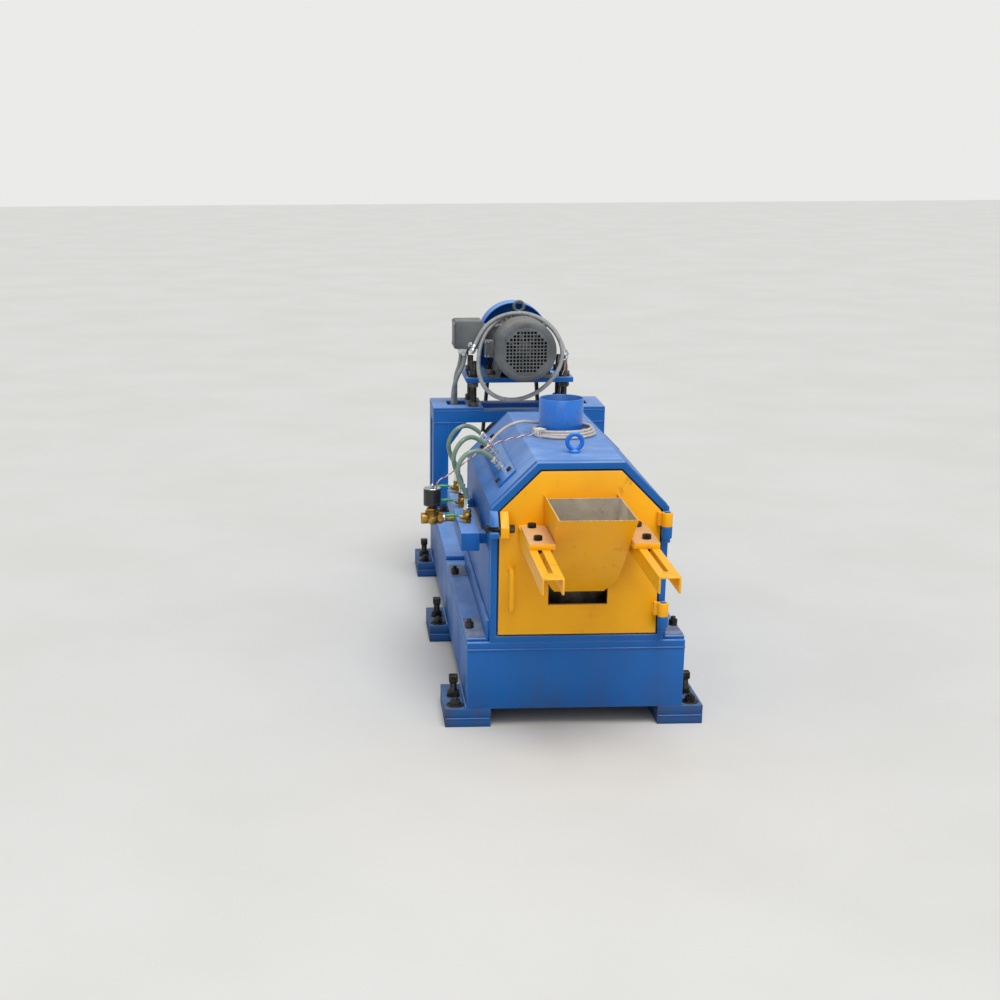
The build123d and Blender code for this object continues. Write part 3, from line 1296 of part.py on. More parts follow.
# Conduit wound round the motor, and two conduits from the terminal box down into the frame
loop_plane = Plane(origin=(LOOP_X, depth(LOOP_DEPTH), MOTOR_LEVEL - 2), x_dir=(1, 0, 0), z_dir=(0, 0.9, -0.436))
with BuildPart() as conduit_loop:
    with Locations(loop_plane):
        Torus(LOOP_RADIUS, LOOP_SECTION)
save(conduit_loop, "conduit_loop")

terminal_base = terminal_level - TERMINAL_HEIGHT / 2
for conduit_name, start_x, start_depth, end_x, end_depth in (
    ("front_conduit", terminal_x - 12, TERMINAL_START + 18, 19 - post_inner, TOP_SLOT_START + 22),
    ("rear_conduit", terminal_x - 22, TERMINAL_START + 62, 31 - post_inner, TOP_SLOT_START + 52),
):
    conduit = tube(
        [
            (start_x, depth(start_depth), terminal_base),
            (start_x, depth(start_depth), terminal_base - 48),
            (0.55 * start_x + 0.45 * end_x - 12, depth(0.7 * start_depth + 0.3 * end_depth), terminal_base - 104),
            (end_x, depth(end_depth), screw_base + 30),
            (end_x, depth(end_depth), screw_base - 48),
        ],
        CONDUIT_RADIUS,
    )
    save(conduit, conduit_name)
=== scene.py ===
from math import asin, cos, pi, radians, sin, sqrt, tan

import bpy
import numpy as np
from mathutils import Matrix, Vector


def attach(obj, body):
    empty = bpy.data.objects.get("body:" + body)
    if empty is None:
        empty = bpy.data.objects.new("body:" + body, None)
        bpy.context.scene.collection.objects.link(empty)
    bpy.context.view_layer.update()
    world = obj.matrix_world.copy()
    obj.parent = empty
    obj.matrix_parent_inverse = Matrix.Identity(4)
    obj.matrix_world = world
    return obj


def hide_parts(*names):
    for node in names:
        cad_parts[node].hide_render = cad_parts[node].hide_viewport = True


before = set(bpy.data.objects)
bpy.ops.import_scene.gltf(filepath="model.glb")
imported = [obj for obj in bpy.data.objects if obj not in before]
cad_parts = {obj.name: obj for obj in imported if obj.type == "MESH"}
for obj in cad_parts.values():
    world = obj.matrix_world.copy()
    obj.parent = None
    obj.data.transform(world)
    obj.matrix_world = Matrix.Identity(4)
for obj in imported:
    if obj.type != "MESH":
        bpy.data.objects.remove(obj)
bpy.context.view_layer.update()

# Millimetres below are measured as in the part's source: x about the plane that halves the
# bed, d back from the front face of the bed, z up from the floor.
MIDDLE_X, BED_FRONT = 23, -640
BED_TOP, SEAM_LEVEL, FOOT_TOP, COVER_TOP, CORNER = 240, 219.5, 52, 727, 120
HALF_BED, HALF_COVER, BED_BACK, COLLAR_DEPTH = 294, 234, 1750, 422
SPINDLE_LEVEL, MOTOR_LEVEL, BELT_DEPTH = 430, 840, 1744
PLATE_BASE, PLATE_TOP, SCREW_BASE, SCREW_TOP = 711, 728, 625, 782
FOOT_STARTS, OUTLETS = (0, 765, 1540), (235, 425, 615)
MANIFOLD_X, MANIFOLD_TOP = -279, 515
VALVE_DEPTH, VALVE_LEVEL, COIL_X = 400, 490, -366
SIDES = (-1, 1)
X, D, Z = np.eye(3)


def place(points):
    """Millimetres in the source's terms to metres in the row frame."""
    return (np.asarray(points, float) + (MIDDLE_X, BED_FRONT, 0)) / 1000


def added(name, data):
    """A new object with this data, linked to the scene."""
    made = bpy.data.objects.new(name, data)
    bpy.context.scene.collection.objects.link(made)
    return made


# Camera: lens, shift and place bring the machine's edges onto those of the photograph
lens = bpy.data.cameras.new("camera")
lens.sensor_width, lens.lens, lens.clip_end = 36, 58.06, 200
lens.shift_x, lens.shift_y = 0.1099, 0.1403
camera = added("camera", lens)
turned = Matrix.Rotation(-0.0306, 4, "Z") @ Matrix.Rotation(radians(90 - 17.71), 4, "X")
camera.matrix_world = (
    Matrix.Translation((-0.6266 + MIDDLE_X / 1000, -4.7476, 1.5639)) @ turned @ Matrix.Rotation(-0.0054, 4, "Z")
)
bpy.context.scene.camera = camera
bpy.context.scene.view_settings.view_transform = "Standard"


# Shader sums
def tone(code):
    """Hex paint code to the linear colour that a shader takes."""
    raw = np.array([int(code[i:i + 2], 16) for i in (1, 3, 5)]) / 255
    linear = np.where(raw <= 0.04045, raw / 12.92, ((raw + 0.055) / 1.055) ** 2.4)
    return (*map(float, linear), 1)


def two_ways(operation):
    """Methods that join a signal to a value by a Math node: as first term, and as second."""
    def forward(self, other):
        return self.tree.node("Math", {"operation": operation}, {0: self, 1: other})

    def backward(self, other):
        return self.tree.node("Math", {"operation": operation}, {0: other, 1: self})

    return forward, backward


class Signal:
    """One shader socket; sums of it add Math nodes to its tree."""
    __add__, __radd__ = two_ways("ADD")
    __sub__, __rsub__ = two_ways("SUBTRACT")
    __mul__, __rmul__ = two_ways("MULTIPLY")
    __truediv__, __rtruediv__ = two_ways("DIVIDE")
    __pow__ = two_ways("POWER")[0]
    least = two_ways("MINIMUM")[0]
    most = two_ways("MAXIMUM")[0]

    def __init__(self, tree, socket):
        self.tree, self.socket = tree, socket

    def size(self):
        return self.tree.node("Math", {"operation": "ABSOLUTE"}, {0: self})

    def rise(self, low, high):
        """Smooth step from 0 at low to 1 at high."""
        values = {"Value": self, "From Min": low, "From Max": high}
        return self.tree.node("MapRange", {"interpolation_type": "SMOOTHSTEP"}, values)


class Tree:
    """A node tree that starts empty."""

    def __init__(self, owner):
        owner.use_nodes = True
        self.nodes, self.links = owner.node_tree.nodes, owner.node_tree.links
        self.nodes.clear()

    def node(self, kind, settings=None, values=None, output=0):
        """Adds a node: its settings, then its sockets' links or values; a text is a hex colour."""
        made = self.nodes.new("ShaderNode" + kind)
        for key, value in (settings or {}).items():
            setattr(made, key, value)
        for key, value in (values or {}).items():
            if isinstance(value, Signal):
                self.links.new(value.socket, made.inputs[key])
            else:
                made.inputs[key].default_value = tone(value) if isinstance(value, str) else value
        return Signal(self, made.outputs[output])

    def end(self, kind, surface):
        self.links.new(surface.socket, self.nodes.new("ShaderNodeOutput" + kind).inputs["Surface"])


class Finish(Tree):
    """One material and the calls that build its node tree."""

    def __init__(self, name):
        self.material = bpy.data.materials.new(name)
        super().__init__(self.material)
        self.spot = self.node("TexCoord", output="Object")
        self.facing = self.node("NewGeometry", output="Normal")

    def noise(self, scale, detail=4, rough=0.55, stretch=None):
        """Soft cloud pattern on object coordinates, 0 to 1; stretch squeezes it along an axis."""
        where = self.spot
        if stretch:
            where = self.node("VectorMath", {"operation": "MULTIPLY"}, {0: where, 1: stretch})
        values = {"Vector": where, "Scale": scale, "Detail": detail, "Roughness": rough}
        return self.node("TexNoise", None, values)

    def axis(self, letter):
        return self.node("SeparateXYZ", None, {0: self.spot}, letter)

    def upward(self):
        """1 on faces that look up, 0 on the others."""
        return self.node("SeparateXYZ", None, {0: self.facing}, "Z").rise(0.5, 0.95)

    def edges(self, radius, reach=6):
        """1 along corners, 0 on flat ground: how far a rounded normal leaves the true one."""
        rounded = self.node("Bevel", {"samples": 6}, {"Radius": radius})
        match = self.node("VectorMath", {"operation": "DOT_PRODUCT"}, {0: rounded, 1: self.facing}, "Value")
        return ((1 - match) * reach).least(1)

    def mix(self, colour, *layers):
        """Lays colours one over another, each by its factor."""
        for over, factor in layers:
            colour = self.node("Mix", {"data_type": "RGBA", "clamp_factor": True}, {0: factor, 6: colour, 7: over}, 2)
        return colour

    def bump(self, height, distance, strength=1, under=None):
        values = {"Strength": strength, "Distance": distance, "Height": height}
        if under is not None:
            values["Normal"] = under
        return self.node("Bump", None, values, "Normal")

    def skin(self, scale, depth, strength):
        """Paint skin: fine grain over slow waves."""
        return self.bump(self.noise(scale, 2), depth, 0.10, self.bump(self.noise(420, 1), 0.0004, strength))

    def close(self, colour, rough, normal=None, metal=0, **constants):
        """Principled surface; the constants are sockets that are the same all over."""
        values = {"Base Color": colour, "Roughness": rough, "Metallic": metal}
        if normal is not None:
            values["Normal"] = normal
        values.update({key.replace("_", " "): value for key, value in constants.items()})
        self.end("Material", self.node("BsdfPrincipled", None, values))
        return self.material


# Paints
def shop_paint(name, main, shade, painted_light_tint, soot=0.30, gloss=0.34):
    """Brushed satin enamel on welded steel: uneven tone, upper faces painted paler as painted light
    from above, edges painted paler as a painted highlight, edges rubbed to primer and steel, workshop dirt near the
    floor and a fine orange-peel skin."""
    f = Finish(name)
    cloud, streak, edge_band = f.noise(3.2), f.noise(9, 4, 0.6, (1, 1, 0.22)), f.edges(0.004)
    dirt = (1 - f.axis("Z").rise(0.02, 0.34)) * streak.rise(0.36, 0.66) * soot
    grime = f.noise(21, 5, 0.65).rise(0.60, 0.74) * soot * 0.6
    chip = (edge_band * 0.85 + f.noise(140, 2, 0.6) * 0.9 + f.noise(17, 3) * 0.55).rise(1.42, 1.52)
    # Upward faces are painted paler as painted light from above, and edges paler as a painted highlight; the edge band
    # also feeds the rubbed chips.
    colour = f.mix(
        main, (shade, cloud.rise(0.42, 0.72) * 0.45), (painted_light_tint, f.upward() * (0.50 + 0.34 * streak.rise(0.38, 0.68))),
        (painted_light_tint, edge_band * 0.30), ("#46423a", dirt.most(grime)), ("#77746d", chip),
        ("#5b3a26", chip * f.noise(60, 2).rise(0.55, 0.62)),
    )
    rough = gloss + 0.14 * cloud + dirt * 0.5 + chip * 0.25 + grime * 0.3
    skin = f.bump(1 - chip, 0.0002, 0.6, f.skin(7, 0.004, 0.22))
    return f.close(colour, rough, skin, chip * 0.7, Specular_IOR_Level=0.22, Coat_Weight=0.03, Coat_Roughness=0.12)


def inside_planes(f):
    """Least distance into the hopper from its outer planes: 0 on its outer faces, 4 mm and
    more on its inner ones."""
    x, y, z = f.axis("X") - MIDDLE_X / 1000, f.axis("Y") - BED_FRONT / 1000, f.axis("Z")
    side = (0.094 + (z - 0.430) * (4 / 215)) - x.size()
    low_side = (0.066 + (z - 0.385) * (28 / 45) - x.size()) * 0.849
    front = (y + 0.302 - (0.645 - z) * (287 / 260)) * 0.671
    back = (0 - y) - (z - 0.504).most(0) * (50 / 141)
    return side.least(low_side).least(front).least(back.least(z - 0.385))


def yellow_enamel(name, hopper=False, painted_top_sheen=False):
    """Yellow enamel over plate, with darker orange painted shade in random patches, upward faces
    painted paler as painted light and a painted highlight on its edges. The hopper is bare, heat-stained steel inside;
    the lugs' upward faces carry a pale tan painted reflection."""
    f = Finish(name)
    cloud, streak, edge_band = f.noise(4.5), f.noise(12, 4, 0.6, (1, 1, 0.25)), f.edges(0.0045)
    scuff = f.noise(26, 5, 0.66, (1, 1, 0.5)).rise(0.60, 0.70) * 0.38
    chip = (edge_band * 0.85 + f.noise(150, 2) * 0.9 + f.noise(19, 3) * 0.5).rise(1.43, 1.52)
    # The darker orange patches are painted shade, the paler upward faces are painted light and the pale edges are a
    # painted highlight.
    colour = f.mix(
        "#f0ac00", ("#dc9600", cloud.rise(0.40, 0.72) * 0.6), ("#f5bf3a", f.upward() * 0.35),
        ("#f8d07a", edge_band * 0.55), ("#7d5a1b", scuff * streak.rise(0.40, 0.62)), ("#6e665a", chip),
    )
    rough, metal = 0.36 + 0.12 * cloud + chip * 0.2 + scuff * 0.3, chip * 0.6
    if painted_top_sheen:
        # The pale tan on the lugs' upward faces is a painted reflection of pale light.
        worn = f.upward() * (0.55 + 0.45 * f.noise(30, 3).rise(0.35, 0.6))
        colour, rough = f.mix(colour, ("#d3a47b", worn)), rough + worn * 0.18
    if hopper:
        bare = inside_planes(f).rise(0.0016, 0.0026)
        stain = f.mix(
            "#cbc2b4", ("#b5aa9b", f.noise(14).rise(0.35, 0.65)),
            ("#b3a264", f.noise(6, 3, 0.5, (1, 1, 2.2)).rise(0.50, 0.66) * 0.5),
            ("#776d64", f.noise(55).rise(0.58, 0.72) * 0.4),
        )
        colour, rough, metal = f.mix(colour, (stain, bare)), rough + bare * 0.18, metal.most(bare * 0.15)
    skin = f.skin(8, 0.004, 0.22)
    return f.close(colour, rough, skin, metal, Specular_IOR_Level=0.3, Coat_Weight=0.05, Coat_Roughness=0.14)


def collar_paint(name):
    """Bright blue enamel outside the exhaust collar, soot and rust within it."""
    f = Finish(name)
    x, y = f.axis("X") - MIDDLE_X / 1000, f.axis("Y") - (BED_FRONT + COLLAR_DEPTH) / 1000
    radius = (x * x + y * y) ** 0.5
    sooty = (1 - radius.rise(0.0592, 0.0606)) * (1 - 0.75 * f.axis("Z").rise(0.770, 0.815))
    soot = f.mix("#4f4238", ("#2a2623", f.noise(30).rise(0.4, 0.62)))
    scuff = f.noise(70).rise(0.62, 0.70) * 0.4
    # Pale blue along the edges is a painted highlight.
    colour = f.mix(
        "#2475d0", ("#1d63b8", f.noise(11).rise(0.4, 0.7) * 0.7), ("#7fb4ee", f.edges(0.003) * 0.4),
        (soot, sooty), ("#4c4b49", scuff),
    )
    rough = 0.30 + 0.12 * f.noise(9, 3) + sooty * 0.45 + scuff * 0.3
    skin = f.bump(f.noise(90, 3) * sooty, 0.0012, 0.6, f.bump(f.noise(400, 1), 0.0004, 0.2))
    return f.close(colour, rough, skin, 0, Coat_Weight=0.2, Coat_Roughness=0.1)


# Bare metals
def bare_metal(name, light, dark, rough=0.38, metal=1, brushed=0.25, rust=0.15):
    """Worked metal: tone that varies in patches, fine scratches, brown in its corners."""
    f = Finish(name)
    patch, fine, edge_band = f.noise(38), f.noise(330, 2, 0.6, (1, 0.25, 1)), f.edges(0.002)
    stain = f.noise(85).rise(0.56, 0.70) * rust
    colour = f.mix(dark, (light, patch.rise(0.34, 0.62)), (light, edge_band * 0.6), ("#5a3d28", stain * (1 - edge_band)))
    roughness = rough + 0.16 * patch + fine * 0.06 + stain * 0.4 - edge_band * 0.08
    skin = f.bump(patch, 0.0006, 0.25, f.bump(fine, 0.0002, brushed))
    return f.close(colour, roughness, skin, metal - stain * 0.6)


def turned_metal(name, light, dark):
    """Turned metal: fine rings square to the spindle, oil-dark in patches."""
    f = Finish(name)
    ring = f.node("TexNoise", {"noise_dimensions": "1D"}, {"W": f.axis("Y") * 900, "Scale": 1, "Detail": 2})
    rust = f.noise(60).rise(0.57, 0.70) * 0.5
    colour = f.mix(dark, (light, f.noise(20).rise(0.36, 0.66)), (light, f.edges(0.002) * 0.5), ("#5c4230", rust))
    return f.close(colour, 0.34 + 0.12 * ring + rust * 0.3, f.bump(ring, 0.0002, 0.3), 0.9 - rust * 0.5)


def cast_enamel(name):
    """Dull dark grey enamel on cast and pressed metal, dusty on top and rubbed on the fins."""
    f = Finish(name)
    cloud, edge_band = f.noise(12), f.edges(0.003)
    grease = f.noise(24, 4, 0.6, (1, 1, 0.4)).rise(0.60, 0.72) * 0.5
    colour = f.mix(
        "#666a6b", ("#525557", cloud.rise(0.36, 0.68)),
        ("#8f8c86", f.upward() * (0.30 + 0.4 * f.noise(40).rise(0.4, 0.7))), ("#83827c", edge_band * 0.45),
        ("#2c2a27", grease),
    )
    return f.close(colour, 0.50 + 0.14 * cloud - edge_band * 0.08 - grease * 0.1, f.bump(f.noise(260, 2), 0.0006, 0.3), 0.05)


def rubber(name, main, dust):
    f = Finish(name)
    cloud = f.noise(30)
    colour = f.mix(main, (dust, cloud.rise(0.45, 0.75) * 0.5), (dust, f.edges(0.0025) * 0.5))
    return f.close(colour, 0.62 + 0.15 * cloud, f.bump(f.noise(300, 2), 0.0005, 0.35))


def moulded(name, main, light, rough=0.42, coat=0.1):
    """Moulded plastic with a fine grain and pale, rubbed edges."""
    f = Finish(name)
    cloud = f.noise(45, 3)
    colour = f.mix(main, (light, (f.edges(0.002) * 0.5).most(cloud.rise(0.5, 0.8) * 0.35)))
    return f.close(colour, rough + 0.1 * cloud, f.bump(f.noise(700, 1), 0.0002, 0.3), 0, Coat_Weight=coat)


def clear_hose(name):
    """Greenish grey braided water hose, part clear, with a faint crossed braid in its wall."""
    f = Finish(name)
    mapped = f.node("TexCoord", output="UV")
    u, v = (f.node("SeparateXYZ", None, {0: mapped}, letter) for letter in "XY")
    one, two = (f.node("Math", {"operation": "SINE"}, {0: (u * 90 + v * way) * 6.2832}) for way in (6, -6))
    braid, cloud = one.most(two).rise(0.72, 0.96), f.noise(25, 3)
    colour = f.mix("#7f9b86", ("#5f7d6b", cloud.rise(0.35, 0.65)), ("#b4c4b2", braid * 0.35))
    skin = f.bump(braid, 0.0003, 0.25)
    return f.close(colour, 0.24 + 0.1 * cloud, skin, 0, Transmission_Weight=0.22, Coat_Weight=0.4, IOR=1.42)


def sheath(name, main, dirt):
    """Cable and conduit sheath: plain plastic with handling marks."""
    f = Finish(name)
    grime = f.noise(70).rise(0.52, 0.70) * 0.5
    colour = f.mix(main, (dirt, f.noise(18).rise(0.42, 0.75) * 0.5), (dirt, grime))
    return f.close(colour, 0.5 + grime * 0.2, f.bump(f.noise(240, 2), 0.0003, 0.3), 0, Coat_Weight=0.08)


blue = shop_paint("blue_enamel", "#125fac", "#0d4d94", "#86aae0")
bright_blue = shop_paint("bright_blue_enamel", "#1f70cf", "#185eb6", "#79aee6", 0.15, 0.28)
feet_blue = shop_paint("blue_enamel_low", "#18518f", "#134077", "#5d7ea6", 0.55, 0.42)
collar_blue = collar_paint("collar_enamel")
yellow = yellow_enamel("yellow_enamel")
hopper_yellow = yellow_enamel("yellow_enamel_hopper", hopper=True)
lug_yellow = yellow_enamel("yellow_enamel_lugs", painted_top_sheen=True)
dark_steel = bare_metal("dark_oxide_steel", "#4b4846", "#242220", 0.40, 0.85)
screw_steel = bare_metal("plated_steel", "#b9b7af", "#8d8b85", 0.30, 1)
rod_steel = bare_metal("oiled_rod_steel", "#6f6c66", "#3a3733", 0.34, 0.95)
pad_plate = bare_metal("worn_pad_plate", "#8791a5", "#67738c", 0.55, 0.15)
brass = bare_metal("cast_brass", "#c29a4e", "#7f5f2c", 0.32, 1, 0.2, 0.35)
chrome = bare_metal("plated_fitting", "#e4e6e6", "#b4b7b8", 0.10, 1, 0.1, 0.05)
mould_steel = turned_metal("turned_mould_steel", "#6e6a64", "#45413c")
shaft_steel = turned_metal("turned_shaft_steel", "#a3a09a", "#6c6862")
pulley_iron = turned_metal("turned_pulley_iron", "#6b6c6e", "#3c3d3f")
motor_grey = cast_enamel("grey_cast_enamel")
belt_rubber = rubber("belt_rubber", "#1c1c1d", "#4a4743")
black_plastic = moulded("black_plastic", "#1b1c1e", "#3c3e42", 0.38, 0.2)
green_plastic = moulded("green_lever_grip", "#1d8a5a", "#5fbf8c", 0.34, 0.3)
hose_wall = clear_hose("clear_hose")
conduit_grey = sheath("grey_conduit_sheath", "#979a9b", "#6c6e6d")
cable_beige = sheath("beige_cable_sheath", "#c2b9b3", "#8d847c")
wire_white = sheath("white_wire_sheath", "#e6e1dc", "#b8b1aa")
wire_red = sheath("red_wire_sheath", "#b03a34", "#7a2823")
tie_black = moulded("black_tie", "#17181a", "#34363a", 0.4, 0.1)


# Directions and turns
def unit(vectors):
    """The same directions with length one."""
    return vectors / np.linalg.norm(vectors, axis=-1, keepdims=True)


def turns(count):
    """Angles of equal steps that go once round."""
    return np.arange(count) * 2 * pi / count


def round_about(angle, u, v):
    """For each angle, its cosine along u and its sine along v."""
    return np.cos(angle)[..., None] * u + np.sin(angle)[..., None] * v


def spokes(axis, angle):
    """Unit vectors square to an axis, one for each angle round it."""
    across = unit(np.cross(axis, X if abs(axis[0]) < 0.8 else D))
    return round_about(angle, across, np.cross(axis, across))


# Closed surfaces on grids
class Surfaces:
    """Closed grid surfaces gathered into one mesh."""

    def __init__(self):
        self.points, self.faces, self.total = [], [], 0

    def add(self, rows, ring=False):
        """rows[i, j] is a point: i runs along the shape and j round it, closing on itself. A ring
        closes along i too; otherwise both ends get a flat cap about their own middle."""
        rows = np.asarray(rows, float)
        count, around = rows.shape[:2]
        points, last = rows.reshape(-1, 3), count * around
        index = np.arange(last).reshape(count, around)
        turn, caps = np.roll(index, -1, axis=1), np.zeros((0, 3), int)
        if ring:
            index, turn = (np.vstack([grid, grid[:1]]) for grid in (index, turn))
        else:
            points = np.vstack([points, rows[0].mean(0), rows[-1].mean(0)])
            near = np.stack([np.full(around, last), turn[0], index[0]], -1)
            far = np.stack([np.full(around, last + 1), index[-1], turn[-1]], -1)
            caps = np.vstack([near, far])
        quads = np.stack([index[:-1], turn[:-1], turn[1:], index[1:]], -1).reshape(-1, 4)
        halves = np.vstack([quads[:, [0, 1, 2]], quads[:, [0, 2, 3]], caps])
        a, b, c = (points[halves[:, k]] for k in range(3))
        if np.einsum("ij,ij->i", a, np.cross(b, c)).sum() < 0:
            quads, caps = quads[:, ::-1], caps[:, ::-1]
        self.faces += (quads + self.total).tolist() + (caps + self.total).tolist()
        self.points.append(points)
        self.total += len(points)
        return self

    def tube(self, path, radius, sides, up=Z, scale=None, ring=False):
        """A round bar along a path; two radii make it an ellipse."""
        profile = round_about(turns(sides), *np.eye(2)) * radius
        return self.add(carried(path, profile, up, scale, ring), ring)

    def stack(self, base, axis, *items):
        """Shapes along one axis, each at its level: (level, profile, sides) is turned, and
        (level, flats, height, turn, lower) is a hexagon."""
        for level, *facts in items:
            make = lathe if isinstance(facts[0], list) else hexagon
            self.add(make(base + level * axis, axis, *facts))
        return self

    def build(self, name, finish, slot, body="machine", replaced=(), smooth=32, bevel=0):
        """Makes the mesh, smooth below the given angle, and rides it on its body; the slot is not used."""
        mesh = bpy.data.meshes.new(name)
        mesh.from_pydata(place(np.vstack(self.points)), [], self.faces)
        mesh.polygons.foreach_set("use_smooth", np.ones(len(mesh.polygons), bool))
        mesh.set_sharp_from_angle(angle=radians(smooth))
        mesh.materials.append(finish)
        made = added(name, mesh)
        if bevel:
            round_edges(made, bevel)
        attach(made, body)
        if replaced:
            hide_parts(*replaced)
        return made


def round_edges(piece, width, angle=35):
    """Small rounded edges where faces meet at more than the angle."""
    edge = piece.modifiers.new("rounded_edges", "BEVEL")
    edge.width, edge.segments = width / 1000, 2
    edge.limit_method, edge.angle_limit = "ANGLE", radians(angle)
    edge.harden_normals = True


def lathe(centre, axis, profile, sides=40):
    """Turned shape: each (radius, height) of the profile swept round the axis."""
    radius, height = np.asarray(profile, float).T[:, :, None, None]
    return centre + height * axis + radius * spokes(axis, turns(sides))


def hexagon(centre, axis, across_flats, height, turn=0, lower=False):
    """Hexagon bar end: radius is half the flats over the cosine of the angle from the nearest
    flat, and a cone turned on the upper face, and on the lower one if asked, cuts the corners."""
    half, angle = across_flats / 2, turns(24)
    reach = half / np.cos((angle + pi / 6) % (pi / 3) - pi / 6)
    flat, zero = np.full(24, half * 0.94), np.zeros(24)
    drop = (reach - flat) * tan(radians(30))
    base = [(flat, zero), (reach, drop)] if lower else [(reach, zero)]
    steps = base + [(reach, height - drop), (flat, zero + height)]
    ring = spokes(axis, angle + turn)
    return np.stack([centre + h[:, None] * axis + r[:, None] * ring for r, h in steps])


def thread(centre, axis, radius, length, pitch, sides=20):
    """Threaded rod: the radius dips once a pitch, and the dip winds once round per pitch."""
    height = np.linspace(0, length, max(2, int(length / pitch * 5) + 1))[:, None]
    dip = 0.5 + 0.5 * np.cos(2 * pi * (height / pitch) - turns(sides))
    ends = np.clip(np.minimum(height, length - height) / (0.8 * pitch), 0, 1)
    reach = radius - 0.09 * radius * dip - (1 - ends) * 0.12 * radius
    return centre + height[..., None] * axis + reach[..., None] * spokes(axis, turns(sides))


def plate(size, origin, u, v, low, high, edge):
    """Flat plate: a rounded rectangle in the plane of u and v, from low to high along their
    normal, drawn in by the edge at both faces."""
    outline = rounded_rectangle(*size)
    normal, middle = np.cross(u, v), outline.mean(0)
    inner = middle + (outline - middle) * (1 - edge / np.abs(outline - middle).max(0))
    steps = ((inner, low), (outline, low + edge), (outline, high - edge), (inner, high))
    return np.stack([origin + o[:, :1] * u + o[:, 1:] * v + h * normal for o, h in steps])


def rounded_rectangle(width, height, corner, steps=5):
    """Outline of a rectangle whose corners are quarter circles."""
    quarter = round_about(np.linspace(0, pi / 2, steps), *np.eye(2)) * corner
    inner = np.array([width / 2 - corner, height / 2 - corner])
    parts = []
    for k, sign in enumerate(((1, 1), (-1, 1), (-1, -1), (1, -1))):
        c, s = cos(k * pi / 2), sin(k * pi / 2)
        parts.append(quarter @ np.array([[c, s], [-s, c]]) + inner * sign)
    return np.vstack(parts)


def chord(path):
    """Direction at each point of a closed path, from the point before to the one after."""
    return np.roll(path, -1, axis=0) - np.roll(path, 1, axis=0)


def carried(path, profile, up=Z, scale=None, ring=False):
    """A closed profile carried along a path, square to it; up keeps it from twisting and scale
    swells or narrows it point by point."""
    path, profile = np.asarray(path, float), np.asarray(profile, float)
    along = unit(chord(path) if ring else np.gradient(path, axis=0))
    side = unit(np.cross(along, up))
    over = np.cross(side, along)
    grow = np.ones(len(path)) if scale is None else scale
    offset = profile[:, :1] * side[:, None] + profile[:, 1:] * over[:, None]
    return path[:, None] + offset * grow[:, None, None]


SLANT = (0.21, 0.37, 0.91)


def weld(parts, x, depth, level, radius=3, up=SLANT, sides=SIDES):
    """Weld bead on each side of the machine, where x, depth and level are one number each or a
    start and an end: a round bar whose radius ripples as the drops of metal overlap and tapers
    at its ends."""
    for side in sides:
        first, last = np.stack(np.broadcast_arrays(x, depth, level, (0, 0))[:3], 1) * (side, 1, 1)
        count = max(2, int(np.linalg.norm(last - first) / 1.8) + 1)
        path = first + np.linspace(0, 1, count)[:, None] * (last - first)
        distance = np.arange(count) * 1.8
        ripple = 1 + 0.13 * np.abs(np.sin(distance / 4.6 * pi)) + 0.06 * np.sin(distance * 0.11 + path[0, 0])
        taper = np.clip(np.minimum(distance + 1.5, distance[-1] - distance + 1.5) / 5, 0.3, 1)
        parts.tube(path, radius, 7, up, ripple * taper)


def round_weld(parts, centre, axis, radius, thickness):
    """Weld bead that closes on itself round a tube."""
    angle = turns(int(2 * pi * radius / 1.9))
    path = centre + radius * spokes(axis, angle)
    ripple = 1 + 0.13 * np.abs(np.sin(angle * round(2 * pi * radius / 4.6) / 2))
    parts.tube(path, thickness, 7, axis, ripple, ring=True)


def washer(centre, axis, bore, outer, thickness):
    """Flat washer with eased edges; its bore is filled by the bolt that stands in it."""
    rim = [(outer - 0.6, 0), (outer, 0.5), (outer, thickness - 0.5), (outer - 0.6, thickness), (bore, thickness)]
    return lathe(centre, axis, rim, 32)


def bolt(parts, centre, axis, flats, height, turn=0, washed=True, stud=0):
    """Hexagon bolt head or nut, on a washer if asked; a stud shows its threads above it."""
    lift = 2.6 if washed else 0
    if washed:
        parts.add(washer(centre, axis, flats * 0.3, flats * 0.98, lift))
    parts.stack(centre, axis, (lift, flats, height, turn))
    if stud:
        start = centre + axis * (lift + height - 1)
        parts.add(thread(start, axis, flats * 0.31, stud + 1, flats * 0.1, 14))
    else:
        disc = [(flats * 0.36, 0), (flats * 0.36, 0.4), (flats * 0.33, 0.7)]
        parts.stack(centre, axis, (lift + height - 0.2, disc, 20))


# Free cords. Each is kept with its route, its points and its facts.
def cord_curve(name, route, radius, finish):
    """Round cord on one smooth NURBS line; its control points are the route's points."""
    curve = bpy.data.curves.new(name, "CURVE")
    curve.dimensions = "3D"
    line = curve.splines.new("NURBS")
    points = place(route)
    line.points.add(len(points) - 1)
    line.points.foreach_set("co", np.hstack([points, np.ones((len(points), 1))]).ravel())
    line.order_u, line.use_endpoint_u, line.resolution_u = 3, True, 10
    curve.bevel_depth, curve.bevel_resolution, curve.use_fill_caps = radius / 1000, 5, True
    curve.materials.append(finish)
    return added(name, curve)


def line_points(route):
    """Points along the smooth NURBS line of a route, in millimetres."""
    guide = cord_curve("guide", route, 0, cable_beige)
    curve = guide.data
    curve.resolution_u = 16
    bpy.context.view_layer.update()
    mesh = bpy.data.meshes.new_from_object(guide)
    raw = np.zeros(len(mesh.vertices) * 3)
    mesh.vertices.foreach_get("co", raw)
    bpy.data.meshes.remove(mesh)
    bpy.data.objects.remove(guide)
    bpy.data.curves.remove(curve)
    return raw.reshape(-1, 3) * 1000 - (MIDDLE_X, BED_FRONT, 0)


